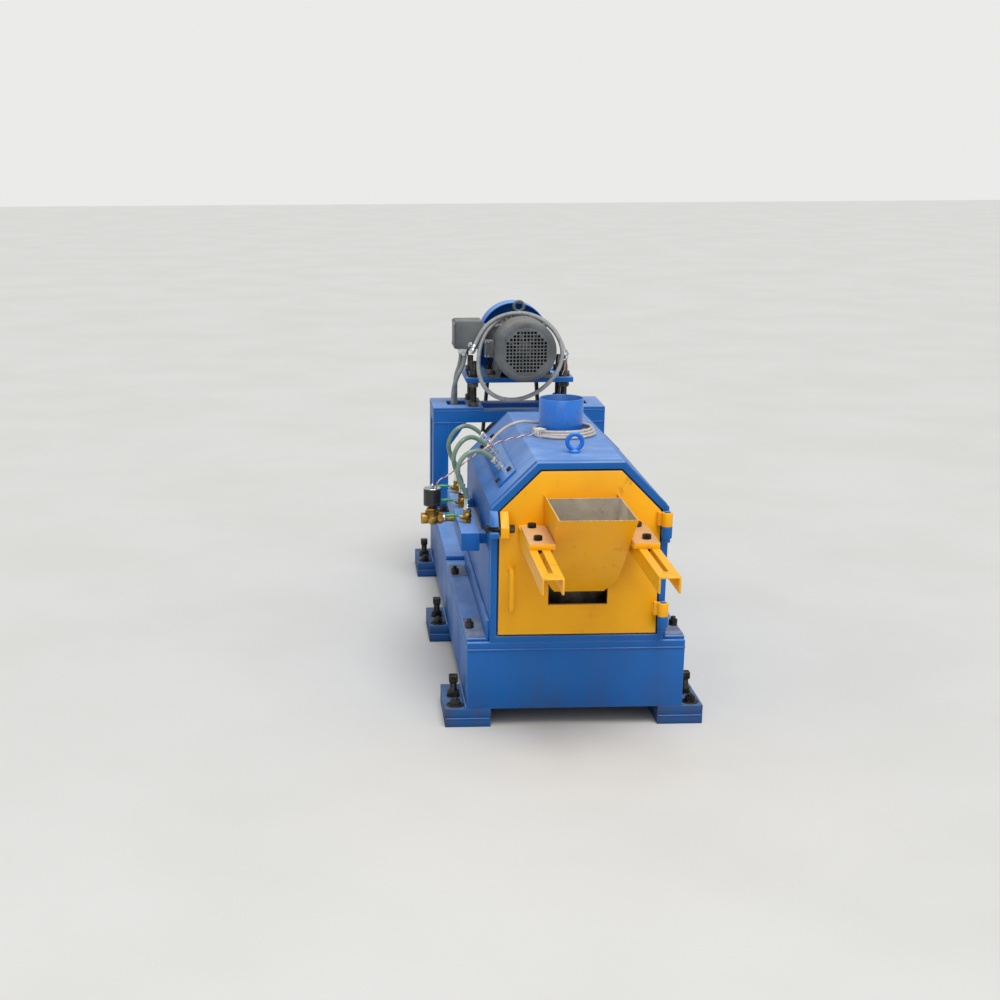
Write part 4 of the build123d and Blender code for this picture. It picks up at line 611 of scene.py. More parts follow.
def even(points, step):
    """The same line with its points a step apart, found by distance along it."""
    gaps = np.linalg.norm(np.diff(points, axis=0), axis=1)
    reach = np.concatenate([[0], np.cumsum(gaps)])
    where = np.linspace(0, reach[-1], int(reach[-1] / step) + 1)
    return np.stack([np.interp(where, reach, points[:, k]) for k in range(3)], 1), where


def with_lengths(made, where, around):
    """UV map of a tube: U is metres along it and V the share of a turn round it."""
    layer = made.data.uv_layers.new(name="along")
    loops = np.zeros(len(made.data.loops), int)
    made.data.loops.foreach_get("vertex_index", loops)
    row, column = np.minimum(loops // around, len(where) - 1), loops % around
    layer.data.foreach_set("uv", np.stack([where[row] / 1000, column / around], 1).ravel())


cords = []
HOSE = {"diameter": 0.013, "far_end": "object", "stiffness": "medium", "lay": "loose"}
SPRAY_END = np.array([-198.04, 0, 682.56])
HOSE_SIDES, HOSE_START = 20, MANIFOLD_TOP + 44

for name, depth, drift in (("front", OUTLETS[0], 15), ("middle", OUTLETS[1], 50), ("rear", OUTLETS[2], 30)):
    # Up from its outlet valve, over in an arch and down into the spray plate
    last_run = (47 + 0.175 * drift) / sqrt(2)
    end = SPRAY_END + D * depth
    route = [
        (MANIFOLD_X, depth, HOSE_START),
        (MANIFOLD_X, depth, HOSE_START + 37),
        (MANIFOLD_X - 20, depth - 0.36 * drift, 625),
        (MANIFOLD_X - 32, depth - 0.88 * drift, 674.5),
        (MANIFOLD_X - 2.5, depth - 0.69 * drift, 713 + 0.15 * drift),
        end + (Z - X) * last_run,
        end,
    ]
    points, where = even(line_points(route), 3)
    hose = Surfaces().tube(points, 6.5, HOSE_SIDES, D)
    made = hose.build(name + "_water_hose", hose_wall, "grey_hose", replaced=(name + "_hose",), smooth=60)
    with_lengths(made, where, HOSE_SIDES)
    cords.append((made, route, points, HOSE))

LEAD = [
    (COIL_X + 10, 400, 578), (COIL_X + 10, 400, 593), (COIL_X + 32, 384, 612),
    (COIL_X + 69, 362, 640), (COIL_X + 117, 350, 685), (-200, 351, 712),
    (-155, 358, 725), (-112, 368, 732), (-71, 376, 735),
]
LEAD_UP = (0.13, 0.97, 0.21)


def twisted(points, offset, phase, pitch=34):
    """One wire of a pair: it winds round the pair's line at an offset, once in every pitch."""
    points, where = even(points, 1.6)
    along = unit(np.gradient(points, axis=0))
    side = unit(np.cross(along, LEAD_UP))
    return points + offset * round_about(where / pitch * 2 * pi + phase, side, np.cross(side, along))


lead_line, _ = even(line_points(LEAD), 2)
lead_wires = [Surfaces().tube(twisted(lead_line, 1.25, phase), 1.2, 10, LEAD_UP) for phase in (0, pi)]
lead = lead_wires[0].build("valve_lead", wire_white, "black_plastic", replaced=("valve_cable",), smooth=60)
lead_wires[1].build("valve_lead_red_wire", wire_red, "black_plastic", smooth=60)
cords.append((lead, LEAD, lead_line, {
    "diameter": 0.005, "far_end": "connector", "stiffness": "limp", "lay": "loose",
    "with_pieces": ["valve_lead_red_wire", "lead_splice_sleeve"],
}))

# The cable is laid round the collar in loose turns, each wider or higher than the last, and its
# end arches off to the left
RING_MIDDLE = np.array([6, 412, 0])
TURN_RADII = (89.3, 80.6, 85, 80.8)
TURN_LEVELS = (731.8, 731.8, 739.4, 746.9)
TAIL = [
    (-86, 447, 756), (-108, 426, 762), (-131, 412, 760), (-160, 408, 748),
    (-184, 406, 728), (-203, 402, 705),
]


def coil_route():
    """Almost four turns, 14 points each: radius and level step from turn to turn over a quarter
    turn, and each turn wanders by a millimetre in its own way; then the tail's points."""
    per = 14
    index = np.arange(4 * per - 2)
    angle = radians(206) + index * 2 * pi / per
    knots = [0, 0.82, 1.18, 1.82, 2.18, 2.82, 3.18, 4]
    radius = np.interp(index / per, knots, np.repeat(TURN_RADII, 2)) * 1.013
    level = np.interp(index / per, knots, np.repeat(TURN_LEVELS, 2))
    reach = np.minimum(radius + 0.9 * np.sin(index * 1.7) * (index / per > 0.1), 90.4)
    return np.vstack([RING_MIDDLE + reach[:, None] * round_about(angle, X, D) + level[:, None] * Z, TAIL])


COIL = coil_route()
coiled = cord_curve("coiled_cable", COIL, 4.4, cable_beige)
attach(coiled, "machine")
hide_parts("cable_ring", "cable_tail")
cords.append((coiled, COIL, line_points(COIL), {
    "diameter": 0.0088, "far_end": "bare", "stiffness": "medium", "lay": "coiled",
    "with_pieces": ["cable_wires_white", "cable_wire_red"],
}))

# Conduit: out of the terminal box, one and a half turns round the motor, down to its gland
LOOP_MIDDLE = np.array([-12, 1436, 838])
LOOP_RISE, LOOP_SIDE = np.array([0, 0.436, 0.9]), np.array([0, 0.9, -0.436])


def loop_route():
    """Points on a tilted circle round the motor: it sags to the left where it hangs, and its
    second turn lies inside the first on the left."""
    angle = np.radians(np.linspace(168, -356, 24))
    share = np.linspace(0, 1, len(angle))
    sag, left = np.maximum(0, -np.sin(angle)), np.maximum(0, -np.cos(angle))
    second = np.clip((share - 0.42) / 0.2, 0, 1)
    radius = 156 + second * (5 - 25 * left - 4 * sag)
    aside = (3 + 11 * share)[:, None] * LOOP_SIDE - 34 * sag[:, None] * X
    return LOOP_MIDDLE + radius[:, None] * round_about(angle, X, LOOP_RISE) - 30 * LOOP_RISE + aside


def ribbed(name, route, radius, replaced, up, **facts):
    """Ribbed conduit: a round profile carried along the line, its radius rising once a rib."""
    points, where = even(line_points(route), 1.3)
    ribs = 0.945 + 0.055 * np.cos(where / 5.2 * 2 * pi)
    parts = Surfaces().tube(points, radius, 16, up, ribs)
    made = parts.build(name, conduit_grey, "grey_hose", replaced=(replaced,), smooth=75)
    cords.append((made, route, points, {"stiffness": "stiff", **facts}))


LOOP = loop_route()
ribbed(
    "looped_conduit", LOOP, 7.6, "conduit_loop", LOOP_SIDE, diameter=0.0152, far_end="fitting", lay="coiled",
    with_pieces=["gland_wires_white", "gland_wire_red"],
)
CONDUITS = {"front_conduit": (-189.5, 1504, -228, 1568), "rear_conduit": (-199.5, 1548, -216, 1598)}
for name, (x, d, end_x, end_d) in CONDUITS.items():
    route = [
        (x, d, 827), (x, d, 779), (0.55 * x + 0.45 * end_x - 12, 0.7 * d + 0.3 * end_d, 723),
        (end_x, end_d, 655), (end_x, end_d, 577),
    ]
    ribbed("ribbed_" + name, route, 8, name, D, diameter=0.016, far_end="object", lay="loose")

# Finishes and small rounded edges of the pieces that come from the frame
NODE_FINISHES = (
    (blue, "bed_top bed_walls pad_strips cover_shell cover_rim cover_rear_plate cover_angles hinge_lower_halves "
     "latch_fork bearing_housing bearing_caps front_portal rear_portal frame_top_plates frame_side_rails cross_beam "
     "motor_plate manifold spray_plate"),
    (feet_blue, "sole_plates foot_plates"),
    (collar_blue, "exhaust_collar"),
    (bright_blue, "belt_guard"),
    (yellow, "hinge_upper_halves latch_lug door_plate door_channels"),
    (hopper_yellow, "hopper"),
    (lug_yellow, "hopper_lugs"),
    (mould_steel, "mould"),
    (shaft_steel, "spindle_shaft motor_rotor"),
    (pulley_iron, "spindle_pulley motor_pulley"),
    (motor_grey, "motor_body fan_grille terminal_boxes"),
)
EDGE = 1.4
THIN_EDGES = {"hopper": 0.9, "fan_grille": 0.4, "belt_guard": 0.8, "exhaust_collar": 0.9, "motor_body": 0.7}
for finish, names in NODE_FINISHES:
    for name in names.split():
        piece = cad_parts[name]
        piece.data.materials.clear()
        piece.data.materials.append(finish)
        piece.data.polygons.foreach_set("use_smooth", np.ones(len(piece.data.polygons), bool))
        piece.modifiers.new("joined_facets", "WELD").merge_threshold = 0.00002
        round_edges(piece, THIN_EDGES.get(name, EDGE))


# Lifting eyes
def eye(parts, centre, radius, bar):
    """Lifting eye: a ring of round bar on a tapered neck and a round foot."""
    foot, thick = 15, 6
    path = centre + Z * (thick + radius + bar / 2) + radius * round_about(turns(48), X, Z)
    parts.tube(path, bar, 16, D, ring=True)
    profile = [
        (foot - 1, 0), (foot, 1), (foot, thick - 1.2), (foot - 1.4, thick),
        (9.5, thick + 0.6), (7.2, thick + 3.2), (6, thick + 4.5),
    ]
    return parts.stack(centre, Z, (0, profile, 32))


eyes = eye(eye(Surfaces(), (0, 140, COVER_TOP), 20, 6), (0, 691, COVER_TOP), 20, 6)
eyes.build("cover_lifting_eyes", bright_blue, "dark_steel", replaced=("lifting_eyes",), smooth=50)
motor_ring = eye(Surfaces(), (0, 1560, 938), 17, 5)
motor_ring.build("motor_lifting_eye", motor_grey, "dark_steel", replaced=("motor_eye",), smooth=50)

# Weld beads
ONCE = (1,)
welds = Surfaces()
round_weld(welds, (0, COLLAR_DEPTH, COVER_TOP + 1), Z, 63.4, 3.2)
half, low, high, cut = HALF_COVER - 0.2, BED_TOP + 0.2, COVER_TOP - 0.2, CORNER - 0.2 * (2 - sqrt(2))
outline = [(-half, low), (-half, high - cut), (cut - half, high), (half - cut, high), (half, high - cut), (half, low)]
for depth, size in ((34, 1.5), (780, 1.7)):
    for first, last in zip(outline, outline[1:]):
        weld(welds, (first[0], last[0]), depth, (first[1], last[1]), size, D, ONCE)
bed = [(-HALF_BED, 0), (HALF_BED, 0), (HALF_BED, BED_BACK), (-HALF_BED, BED_BACK), (-HALF_BED, 0)]
for first, last in zip(bed, bed[1:]):
    weld(welds, (first[0], last[0]), (first[1], last[1]), SEAM_LEVEL, 2.2, Z, ONCE)
for start in FOOT_STARTS:
    weld(welds, 295, (start + 4, start + 206), FOOT_TOP + 1, 3.6)
    for depth in (start, start + 210):
        weld(welds, (229, 351), depth, 24, 1.8, Z)
    weld(welds, 350, (start + 3, start + 207), 24, 1.8, Z)
weld(welds, 294, (18, 772), BED_TOP + 0.5, 1.6, Z)
weld(welds, 294, (870, 1744), BED_TOP + 0.5, 1.8, Z)
weld(welds, 236, (870, 1744), BED_TOP + 0.8, 2.6)
for start in (1480, 1637):
    front, back = start - 0.6, start + 66.6
    for depth in (front, back):
        weld(welds, (247, 293), depth, 265)
        weld(welds, (188, 299.5), depth, 572.5, 1.6, Z)
        weld(welds, 247, depth, (487, 571), 1.6, D)
    weld(welds, 247, (front + 2, back - 2), 265)
    for depth in (start + 6, start + 60):
        weld(welds, (186, 246), depth, (571, 487), 2, D)
for depth in (1480.6, 1702.4):
    weld(welds, (126, 299), depth, 613.5, 1.8, Z)
for x in (125.5, 300):
    weld(welds, x, (1482, 1701), 613.5, 1.8, Z)
for depth in (1561.5, 1621.5):
    weld(welds, (-236, 236), depth, 254.8, 2.6, SLANT, ONCE)
for depth in (155, 195, 590, 630):
    for x in (-HALF_COVER - 0.5, -253.5):
        weld(welds, x, depth, (476, 504), 2.2, D, ONCE)
HINGE_LEVELS = (314, 559.5)
for level in HINGE_LEVELS:
    for edge in (218.3, 232.7):
        weld(welds, edge, 0.2, (level - 29, level - 1), 2, D, ONCE)
for level in (537.3, 600.7):
    weld(welds, (-238.5, -218), 0.4, level, 1.7, Z, ONCE)
welds.build("weld_beads", blue, "blue_paint", smooth=70)

door_welds = Surfaces()
for x in (110.6, 162.4):
    weld(door_welds, x, -0.6, (520, 559), 2.6, D)
weld(door_welds, (110.6, 162.4), -0.8, 560.4, 2.8)
weld(door_welds, 98.6, (-58, -249), 561, 2.4)
weld(door_welds, (94.5, 95.6), -0.7, (432, 502), 2.2, D)
weld(door_welds, (66.5, 94), -0.7, (385.5, 430), 2.2, D)
for level in HINGE_LEVELS:
    for edge in (level + 2, level + 36):
        weld(door_welds, (202, 211), -0.4, edge, 1.8, Z, ONCE)
    weld(door_welds, 201.6, -0.4, (level + 2, level + 36), 2, D, ONCE)
HANDLE_X, HANDLE_LEVELS = -181, (338, 446)
for level in HANDLE_LEVELS:
    round_weld(door_welds, (HANDLE_X, -0.8, level), D, 7.6, 2.4)
door_welds.build("door_weld_beads", yellow, "yellow_paint", body="door", smooth=70)


def handle_line():
    """Grab handle: straight legs joined to the grip by quarter circles, as one line."""
    reach, bend, (low, high) = 44, 16, HANDLE_LEVELS
    angle = np.linspace(0, pi / 2, 9)
    near = bend - reach
    legs = np.linspace(0.5, near, 8)[:-1]
    grip = np.linspace(low + bend, high - bend, 12)[1:-1]
    depths = [legs, near - bend * np.sin(angle), np.full(10, -reach), near - bend * np.cos(angle), legs[::-1]]
    levels = [
        np.full(7, low), low + bend - bend * np.cos(angle), grip,
        high - bend + bend * np.sin(angle), np.full(7, high),
    ]
    depths, levels = np.concatenate(depths), np.concatenate(levels)
    return np.stack([np.full(len(depths), HANDLE_X), depths, levels], 1)


handle = Surfaces().tube(handle_line(), 7, 20, X)
handle.build("bent_grab_handle", yellow, "yellow_paint", "door", ("grab_handle",), smooth=60)

# Bolts of the door side
door_bolts = Surfaces()
for side in SIDES:
    for depth in (-76, -208):
        bolt(door_bolts, (side * 136.5, depth, 575), Z, 20, 12, 0.3 + depth, False)
        door_bolts.stack((side * 136.5, depth, 555), -Z, (0, 20, 13, 0.9))
door_bolts.build("hopper_bolts", dark_steel, "dark_steel", "door")

LATCH = np.array([0, -22, 559])
latch = Surfaces()
latch.stack(LATCH, X, (-190, 19, 15.4, 0.2), (-174.8, [(7, 0), (7, 0.4), (6.4, 0.8)], 20))
latch.stack(LATCH, -X, (242, 19, 9, 0.5, True), (190.2, [(5.9, 0), (6, 0.3), (6, 46), (5.6, 47)], 24))
latch.add(thread(LATCH - X * 236, -X, 6, 18, 1.75, 18))
latch.build("latch_swing_bolt", dark_steel, "dark_steel", "door", ("latch_bolt",))

# Fasteners of the bed, the bearing housing and the frame
bolts, pads, levels, rods = (Surfaces() for _ in range(4))
FOOT_BOLT_X, ROD_X = 323, 158
for side in SIDES:
    for middle, depth, length in ((110, 105, 176), (708, 663, 124)):
        pads.add(plate((48, length, 3), (side * 269, middle, 248), X, D, 0, 3, 0.7))
        bolt(bolts, (side * 281, depth, 251), Z, 22, 17, 0.2 * side, False, 8)
    for start in FOOT_STARTS:
        bolt(bolts, (side * FOOT_BOLT_X, start + 34, FOOT_TOP), Z, 24, 14, 0.5 + 0.2 * side, stud=6)
        # Square-headed levelling screw with a rolled thread and a lock nut
        spot = np.array([side * FOOT_BOLT_X, start + 110, FOOT_TOP])
        levels.add(washer(spot, Z, 10, 19, 2.5)).stack(spot, Z, (2.5, 30, 15, 0.2, True))
        levels.add(thread(spot + Z * 10, Z, 10, 36, 2.5, 20))
        levels.add(plate((24, 24, 2.5), spot + Z * 42, X, D, 0, 20, 1.6))
    for depth in (870, 1050, 1230):
        bolt(bolts, (side * 127, depth, 264), Z, 30, 18, 0.1 * side)
    bolt(bolts, (side * 265, 1452, 264), Z, 24, 15, 0.3, stud=7)
    for depth in (1482, 1620):
        bolt(bolts, (side * 96, depth, 740), Z, 17, 10.5, 0.2)
    for depth in (1514, 1669):
        foot = np.array([side * ROD_X, depth, 0])
        rods.add(thread(foot + Z * SCREW_BASE, Z, 11, SCREW_TOP - SCREW_BASE, 2.5, 20))
        for level, way in ((SCREW_BASE + 2.8, 1), (PLATE_BASE - 3, -1), (PLATE_TOP + 3, 1)):
            rods.stack(foot + Z * level, Z * way, (0, 32, 16, 0.15 * side + depth, True))
        for level in (SCREW_BASE, PLATE_BASE - 3, PLATE_TOP):
            rods.add(washer(foot + Z * level, Z, 11, 19.5, 3))
for end, way in ((816, -1), (1284, 1)):
    for out in round_about(pi / 6 + turns(6), X, Z):
        bolt(bolts, D * end + Z * SPINDLE_LEVEL + 70 * out, D * way, 13, 8, 0.1, False)
bolts.build("frame_bolts", dark_steel, "dark_steel")
pads.build("side_bolt_pads", pad_plate, "grey_steel", bevel=0.6)
levels.build("levelling_screw_set", dark_steel, "dark_steel", replaced=("levelling_screws",), bevel=0.4)
rods.build("threaded_tension_rods", rod_steel, "dark_steel", replaced=("tension_screws",))


# Drive belts: a trapezium carried round both pulleys
def belt_line(extra):
    """Closed line round both pulleys: the low arc, a tangent, the high arc and the other tangent."""
    low, high = 112.5 + extra, 80 + extra
    slope = asin((low - high) / (MOTOR_LEVEL - SPINDLE_LEVEL))
    under = np.linspace(pi - slope, 2 * pi + slope, 60)
    over = np.linspace(slope, pi - slope, 44)
    lower = Z * SPINDLE_LEVEL + low * round_about(under, X, Z)
    upper = Z * MOTOR_LEVEL + high * round_about(over, X, Z)
    share = np.linspace(0, 1, 14)[1:-1, None]
    right, left = lower[-1] + share * (upper[0] - lower[-1]), upper[-1] + share * (lower[0] - upper[-1])
    return np.vstack([lower, right, upper, left])


belts = Surfaces()
BELT_SECTION = np.array([(-4.4, -4.5), (4.4, -4.5), (5.95, 3.6), (5.6, 4.5), (-5.6, 4.5), (-5.95, 3.6)])
flat = belt_line(-4.5)
outward = unit(np.cross(D, chord(flat)))
outward *= np.sign((outward * (flat - flat.mean(0))).sum())
for groove in (-19, 0, 19):
    path = flat + D * (BELT_DEPTH + groove)
    across, rise = BELT_SECTION[None, :, :1], BELT_SECTION[None, :, 1:]
    belts.add(path[:, None] + across * D + rise * outward[:, None], ring=True)
belts.build("v_belts", belt_rubber, "black_rubber", replaced=("drive_belts",), smooth=40)

# Fan cowl and terminal boxes
COWL = [
    (79.2, 0.4), (81, 0), (90, 0.6), (96, 3), (100.2, 7), (102.4, 12.5), (103, 18), (103, 128),
    (102.2, 131), (102.2, 135), (103, 138), (103, 156), (100.5, 156), (100.5, 19),
    (99.6, 13.5), (96.4, 8), (90, 3.6), (79.2, 2.6),
]
cowl = Surfaces().add(np.swapaxes(lathe((0, 1296, MOTOR_LEVEL), D, COWL, 72), 0, 1), ring=True)
cowl.build("pressed_fan_cowl", motor_grey, "motor_grey", replaced=("fan_cowl",), smooth=40)
screws = Surfaces()
for out in round_about(pi / 4 + turns(4), X, Z):
    screws.stack(D * 1446 + Z * MOTOR_LEVEL, out, (102.6, 10, 5.5, 0.1))
for depth in (1494, 1594):
    for level in (835, 913):
        screws.stack((-228, depth, level), -X, (0, [(4.4, -1), (4.4, 0.6), (3.2, 2.2), (1, 2.8)], 16))
for x in (-121, -131):
    for level in (817, 863):
        screws.stack((x, 1372, level), -D, (0, [(3.2, -1), (3.2, 0.4), (2.2, 1.6), (0.6, 2)], 14))
screws.build("motor_cover_screws", screw_steel, "grey_steel")
lid = Surfaces()
lid.add(plate((116, 94, 7), (-225, 1544, 874), D, Z, -0.5, 0.8, 0.3))
lid.add(plate((112, 90, 8), (-225.8, 1544, 874), -D, Z, 0, 2.8, 1.2))
lid.build("terminal_box_lid", motor_grey, "motor_grey", bevel=0.5)

glands = Surfaces()
GLAND_BODY = [(11.4, 0), (11.8, 1), (11.8, 12), (10.8, 15), (8.6, 16)]
for x, d, *_ in CONDUITS.values():
    glands.stack((x, d, 827.4), -Z, (0, 25, 9, 0.2, True), (8.8, GLAND_BODY, 28))
loop_end, loop_way = LOOP[-1], unit(LOOP[-1] - LOOP[-2])
ferrule = [(8.4, 0), (10.6, 1), (10.8, 9), (10.2, 12.5)]
glands.stack(loop_end, loop_way, (-12, ferrule, 28), (0, 22, 8, 0.2, True))
glands.add(thread(loop_end + loop_way * 7.5, loop_way, 8, 10, 1.5, 20))
glands.build("conduit_glands", chrome, "chrome")

# Swivel elbow by which the loop leaves the terminal box
first_way = unit(LOOP[1] - LOOP[0])
corner = LOOP[0] - first_way * 12
box_face = np.array([corner[0], 1485.8, 842])
arc = np.linspace(0.12, pi - 0.12, 13)
ball = list(zip(11.6 * np.sin(arc), -11.6 * np.cos(arc)))
neck = [(8.8, 0), (9.2, 1), (9.2, 36), (9.8, 37), (9.8, 44)]
mouth = [(9.6, 0), (9.8, 3), (10.8, 3.6), (10.8, 11), (9.8, 13), (8, 14)]
elbow = Surfaces().stack(box_face, unit(corner - box_face), (0, 23, 6, 0.2), (5.6, neck, 28))
elbow.stack(corner, first_way, (0, ball, 28), (6, mouth, 28)).build("conduit_elbow", chrome, "chrome")


def loose_wires(kind, lines, red, radius, up):
    """Loose ends of wires: one is red and the others are white."""
    whites, reds = Surfaces(), Surfaces()
    for k, line in enumerate(lines):
        (reds if k == red else whites).tube(line, radius, 8, up)
    whites.build(kind + "_wires_white", wire_white, "black_plastic", smooth=60)
    reds.build(kind + "_wire_red", wire_red, "black_plastic", smooth=60)


share = np.linspace(0, 1, 12)[:, None]
hanging = []
for k, (lean_x, lean_d, drop) in enumerate(((2, 1.5, 52), (-2.4, 2.2, 60), (0.4, -2.6, 56))):
    sway = (lean_x * X + lean_d * D) * (0.6 + 3.2 * share ** 1.6) + (2 * X - 3 * D) * np.sin(share * 3 + k)
    hanging.append(loop_end + loop_way * 15 - Z * drop * share + sway)
loose_wires("gland", hanging, 2, 1.1, X)

# Water fittings: outlet valves with their levers
outlet_brass, outlet_chrome, lever_steel, lever_grip = (Surfaces() for _ in range(4))
BODY_FOOT = [(10, -0.4), (10.4, 0.4), (10.4, 3), (9.4, 4.2)]
BODY_BALL = [(9, 0), (10.4, 1.6), (12.2, 5), (12.8, 9), (12.2, 13), (10.4, 16.4), (9, 18)]
BODY_STEM = [(6.5, 0), (6.5, 8), (5.6, 9.2), (4, 9.4), (4, 13)]
UNION = [(8.2, 0), (8.8, 0.8), (8.8, 8), (8.4, 8.6), (8.4, 11), (9.2, 11.8), (9.2, 23), (8.8, 24), (7, 24.6)]
# Lever sleeve: a rounded section that swells towards its tip and closes in a soft end
along = np.linspace(0, 1, 18)
swell = np.sin(np.clip(along * 1.04, 0, 1) * pi * 0.5 + 0.35) ** 0.5 * np.clip((1.02 - along) * 12, 0, 1) ** 0.5
sleeve = np.stack([-42 * along - 20, 0 * along, 2.6 * np.sin(along * pi) + 19.5], 1)
for depth in OUTLETS:
    base = np.array([MANIFOLD_X, depth, MANIFOLD_TOP])
    outlet_brass.stack(
        base, Z, (0, BODY_FOOT, 28), (3.6, 22, 8, 0.26, True), (11, BODY_BALL, 32), (28.6, 20, 9, 0.1, True)
    )
    outlet_brass.stack(base + Z * 16, -X, (8, BODY_STEM, 20))
    outlet_chrome.stack(base, Z, (37.4, 19, 7, 0.3, True), (44, UNION, 28))
    lever_steel.add(plate((26, 11, 4), base - X * 14 + Z * 20.5, X, D, -1.2, 1.2, 0.5))
    lever_steel.stack(base - X * 4, Z, (21.2, 8, 4, 0.4))
    lever_grip.tube(base + sleeve, (6.5, 5), 16, Z, np.clip(swell, 0.12, 1))

# Swivel nuts and ferrules square to the left slope
SLOPE_OUT, SLOPE_UP = unit(Z - X), unit(Z + X)
SLOPE_MIDDLE = np.array([-(HALF_COVER - 60), 0, COVER_TOP - 60])
SPRAY_END_RING = [(8.6, 0), (8.9, 0.8), (8.9, 6), (8.3, 6.8), (8.3, 9), (9, 9.8), (9, 17.5), (8.6, 18.4), (7, 19)]
spray_nuts, plate_screws = Surfaces(), Surfaces()
for depth in OUTLETS:
    spray_nuts.stack(
        SPRAY_END + D * depth, SLOPE_OUT, (-22, 21, 7, 0.2),
        (-15.4, [(7.4, 0), (7.4, 6), (8.6, 6.6)], 28), (-10, 19, 9, 0.5, True), (-1.4, SPRAY_END_RING, 28),
    )
for depth in (158, 641):
    for rise_by in (-33, 10):
        plate_screws.stack(SLOPE_MIDDLE + D * depth + SLOPE_UP * rise_by, SLOPE_OUT, (6, 13, 7.5, 0.3))
spray_nuts.build("spray_swivel_nuts", chrome, "chrome", replaced=("spray_fittings",))
plate_screws.build("spray_plate_screws", dark_steel, "dark_steel")
outlet_brass.build("outlet_valve_bodies", brass, "brass", replaced=("outlet_valves",))
outlet_chrome.build("hose_unions", chrome, "chrome")
lever_steel.build("lever_plates", screw_steel, "grey_steel")
lever_grip.build("lever_grips", green_plastic, "black_plastic", smooth=60)

# Solenoid valve: brass body with hexagon ends, neck into the manifold, coil with its plate
seat = np.array([0, VALVE_DEPTH, VALVE_LEVEL])
top = seat + X * COIL_X
PORT = [(10, 0), (10, 20), (13.6, 20), (15.2, 18.6), (15.8, 14), (15.8, 3), (15, 0.4), (13.8, 0)]
BARREL = [(13, 0), (15, 2), (18.2, 7), (19, 13), (18.6, 19), (17, 24), (14.6, 28), (13.4, 31)]
BONNET = [(17, 0), (19.6, 6), (20.4, 12), (20.4, 18), (17, 20), (16.2, 26), (12, 29), (10, 34.4)]
WINDING = [
    (20, 0), (24.2, 0.6), (25, 1.6), (25, 7), (24.2, 7.6), (24.2, 9), (25, 9.6), (25, 40),
    (24.2, 40.6), (24.2, 42), (25, 42.6), (25, 47.4), (24, 48.4),
]
valve = Surfaces().add(np.swapaxes(lathe(seat - X * 398, X, PORT, 36), 0, 1), ring=True)
neck = [(12, 0), (12.2, 3), (10, 3.6), (10, 33.6)]
valve.stack(seat, X, (-379, BARREL, 40), (-350, 30, 13, 0.26, True), (-337.4, neck, 32))
valve.stack(top, Z, (4, BONNET, 40))
for out in round_about(pi / 4 + turns(4), X, D):
    valve.stack(top + 15.6 * out, Z, (21.4, 6.5, 4, 0.2))
valve.build("water_valve_body", brass, "brass", replaced=("valve_body",), smooth=36)
flange = Surfaces().stack(seat, X, (-334.6, [(12.6, 0), (13.4, 0.8), (13.4, 5.2), (12.6, 6), (10.4, 6.4)], 36))
flange.add(plate((48, 48, 22, 9), top + Z * 86.4, X, D, 0, 2.4, 0.5))
flange.stack(top, Z, (88.8, 11, 7, 0.3, True)).add(thread(top + Z * 94, Z, 3.4, 6, 1, 14))
flange.build("valve_bright_parts", chrome, "chrome")
coil = Surfaces().stack(top, Z, (38, WINDING, 48))
coil.build("valve_coil_moulding", black_plastic, "black_plastic", replaced=("valve_coil",), smooth=40)


# Wire wraps round the coil where the lead joins it, the splice, and the cable's bare ends
def squared(wave):
    """A wave with its crests made flat, for a rounded square."""
    return np.sign(wave) * np.abs(wave) ** 0.55


tie = Surfaces()
lap = turns(40)
for k in range(7):
    turn = radians(202.5 + 3 * k + 0.5 * sin(2.3 * k))
    out = cos(turn) * X + sin(turn) * D
    beside = np.cross(Z, out)
    wide, tall = (10.4 + 0.25 * sin(k)) * squared(np.cos(lap)), 13.4 * squared(np.sin(lap))
    path = RING_MIDDLE + out * (84.6 + wide[:, None]) + Z * (740.4 + tall[:, None])
    path += beside * (1.4 * np.sin(lap + k))[:, None]
    path[:, 2] = np.clip(path[:, 2], COVER_TOP + 1.1, 751)
    tie.tube(path, 1.3, 8, beside, ring=True)
tie.build("cable_tie_wire", wire_white, "black_plastic", smooth=60)

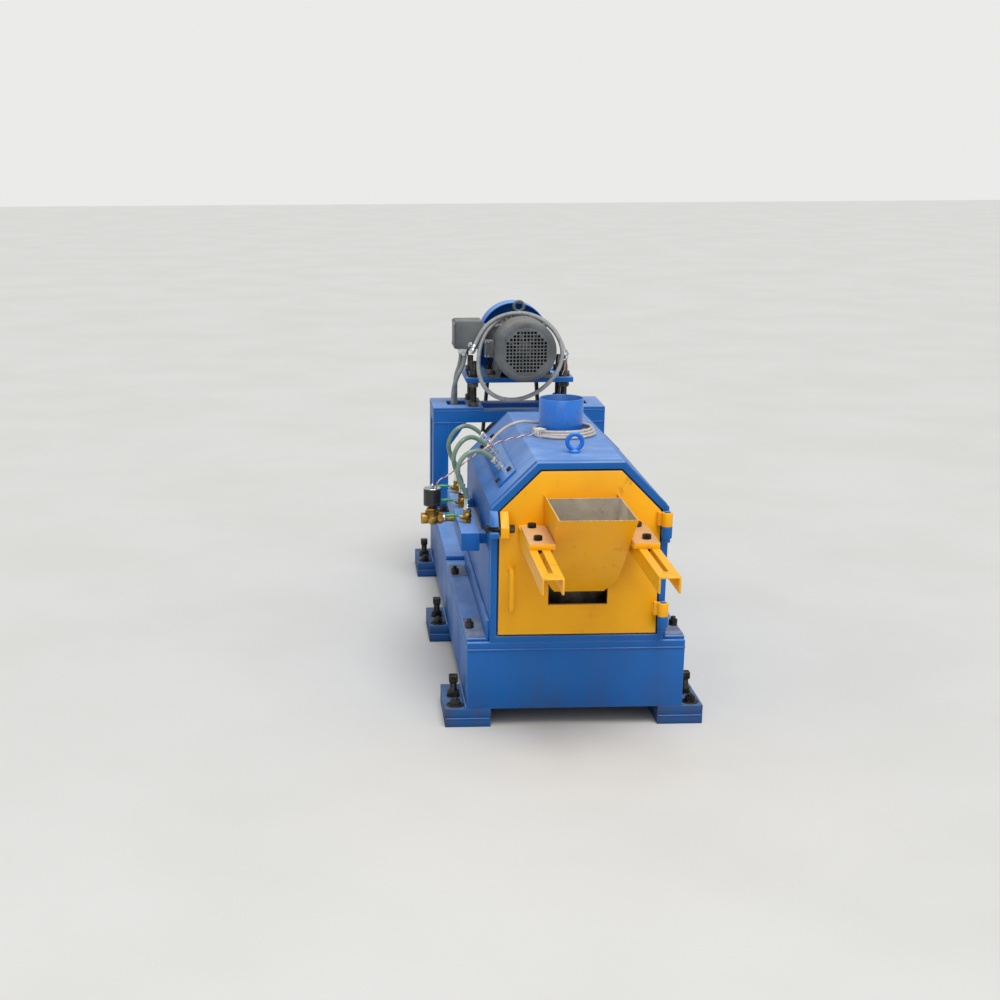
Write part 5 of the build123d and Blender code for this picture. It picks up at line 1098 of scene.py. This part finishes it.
splice_profile = [(2.7, 0), (4, 2), (4.3, 5), (4.3, 9), (3.8, 12), (2.4, 14)]
splice = Surfaces().stack(LEAD[-1], unit(np.subtract(LEAD[-1], LEAD[-2])), (-9, splice_profile, 20))
splice.build("lead_splice_sleeve", tie_black, "black_plastic", smooth=60)

end_way = unit(COIL[-1] - COIL[-2])
bared = []
for k, lean in enumerate((2, -2, 0.2)):
    line = COIL[-1] + end_way * ((19 + 3 * k) * share - 3) - Z * (3 + 2 * k) * share ** 2
    bared.append(line + np.cross(X, end_way) * lean * (0.4 + 1.8 * share))
loose_wires("cable", bared, 1, 1.15, D)

# Cords: the real length of each, and the path in metres of each that is a mesh
for made, route, points, facts in cords:
    length = float(np.linalg.norm(np.diff(points, axis=0), axis=1).sum()) / 1000
    path = place(points) if made.type == "MESH" else None

# Floor and light
floor_mesh = bpy.data.meshes.new("floor")
floor_mesh.from_pydata([(-30, -30, 0), (30, -30, 0), (30, 30, 0), (-30, 30, 0)], [], [(0, 1, 2, 3)])
floor = added("floor", floor_mesh)
ground = Finish("pale_floor")
shade = ground.mix("#cfcfcd", ("#cbcbc8", ground.noise(1.4, 3).rise(0.3, 0.7)))
floor.data.materials.append(ground.close(shade, 0.8, Specular_IOR_Level=0.1))

sun = bpy.data.lights.new("roof_light", "SUN")
sun.energy, sun.angle = 2.1, radians(38)
added("roof_light", sun).rotation_euler = (radians(22), radians(7), 0)
lamp = bpy.data.lights.new("front_light", "AREA")
lamp.shape, lamp.size, lamp.energy = "SQUARE", 3.4, 45
front_light = added("front_light", lamp)
front_light.location = (-0.6, -5.2, 3.4)
front_light.rotation_euler = (Vector((0, 0, 0.6)) - front_light.location).to_track_quat("-Z", "Y").to_euler()

# Backdrop: clear to the camera and through glass, dimmer as a light
world = bpy.data.worlds.new("studio")
bpy.context.scene.world = world
sky = Tree(world)
seen = sky.node("LightPath", output="Is Camera Ray").most(sky.node("LightPath", output="Is Transmission Ray"))
dim = sky.node("Background", None, {"Color": "#ffffff", "Strength": 0.55})
clear = sky.node("Background", None, {"Color": "#ebebea", "Strength": 1})
sky.end("World", sky.node("MixShader", None, {0: seen, 1: dim, 2: clear}))
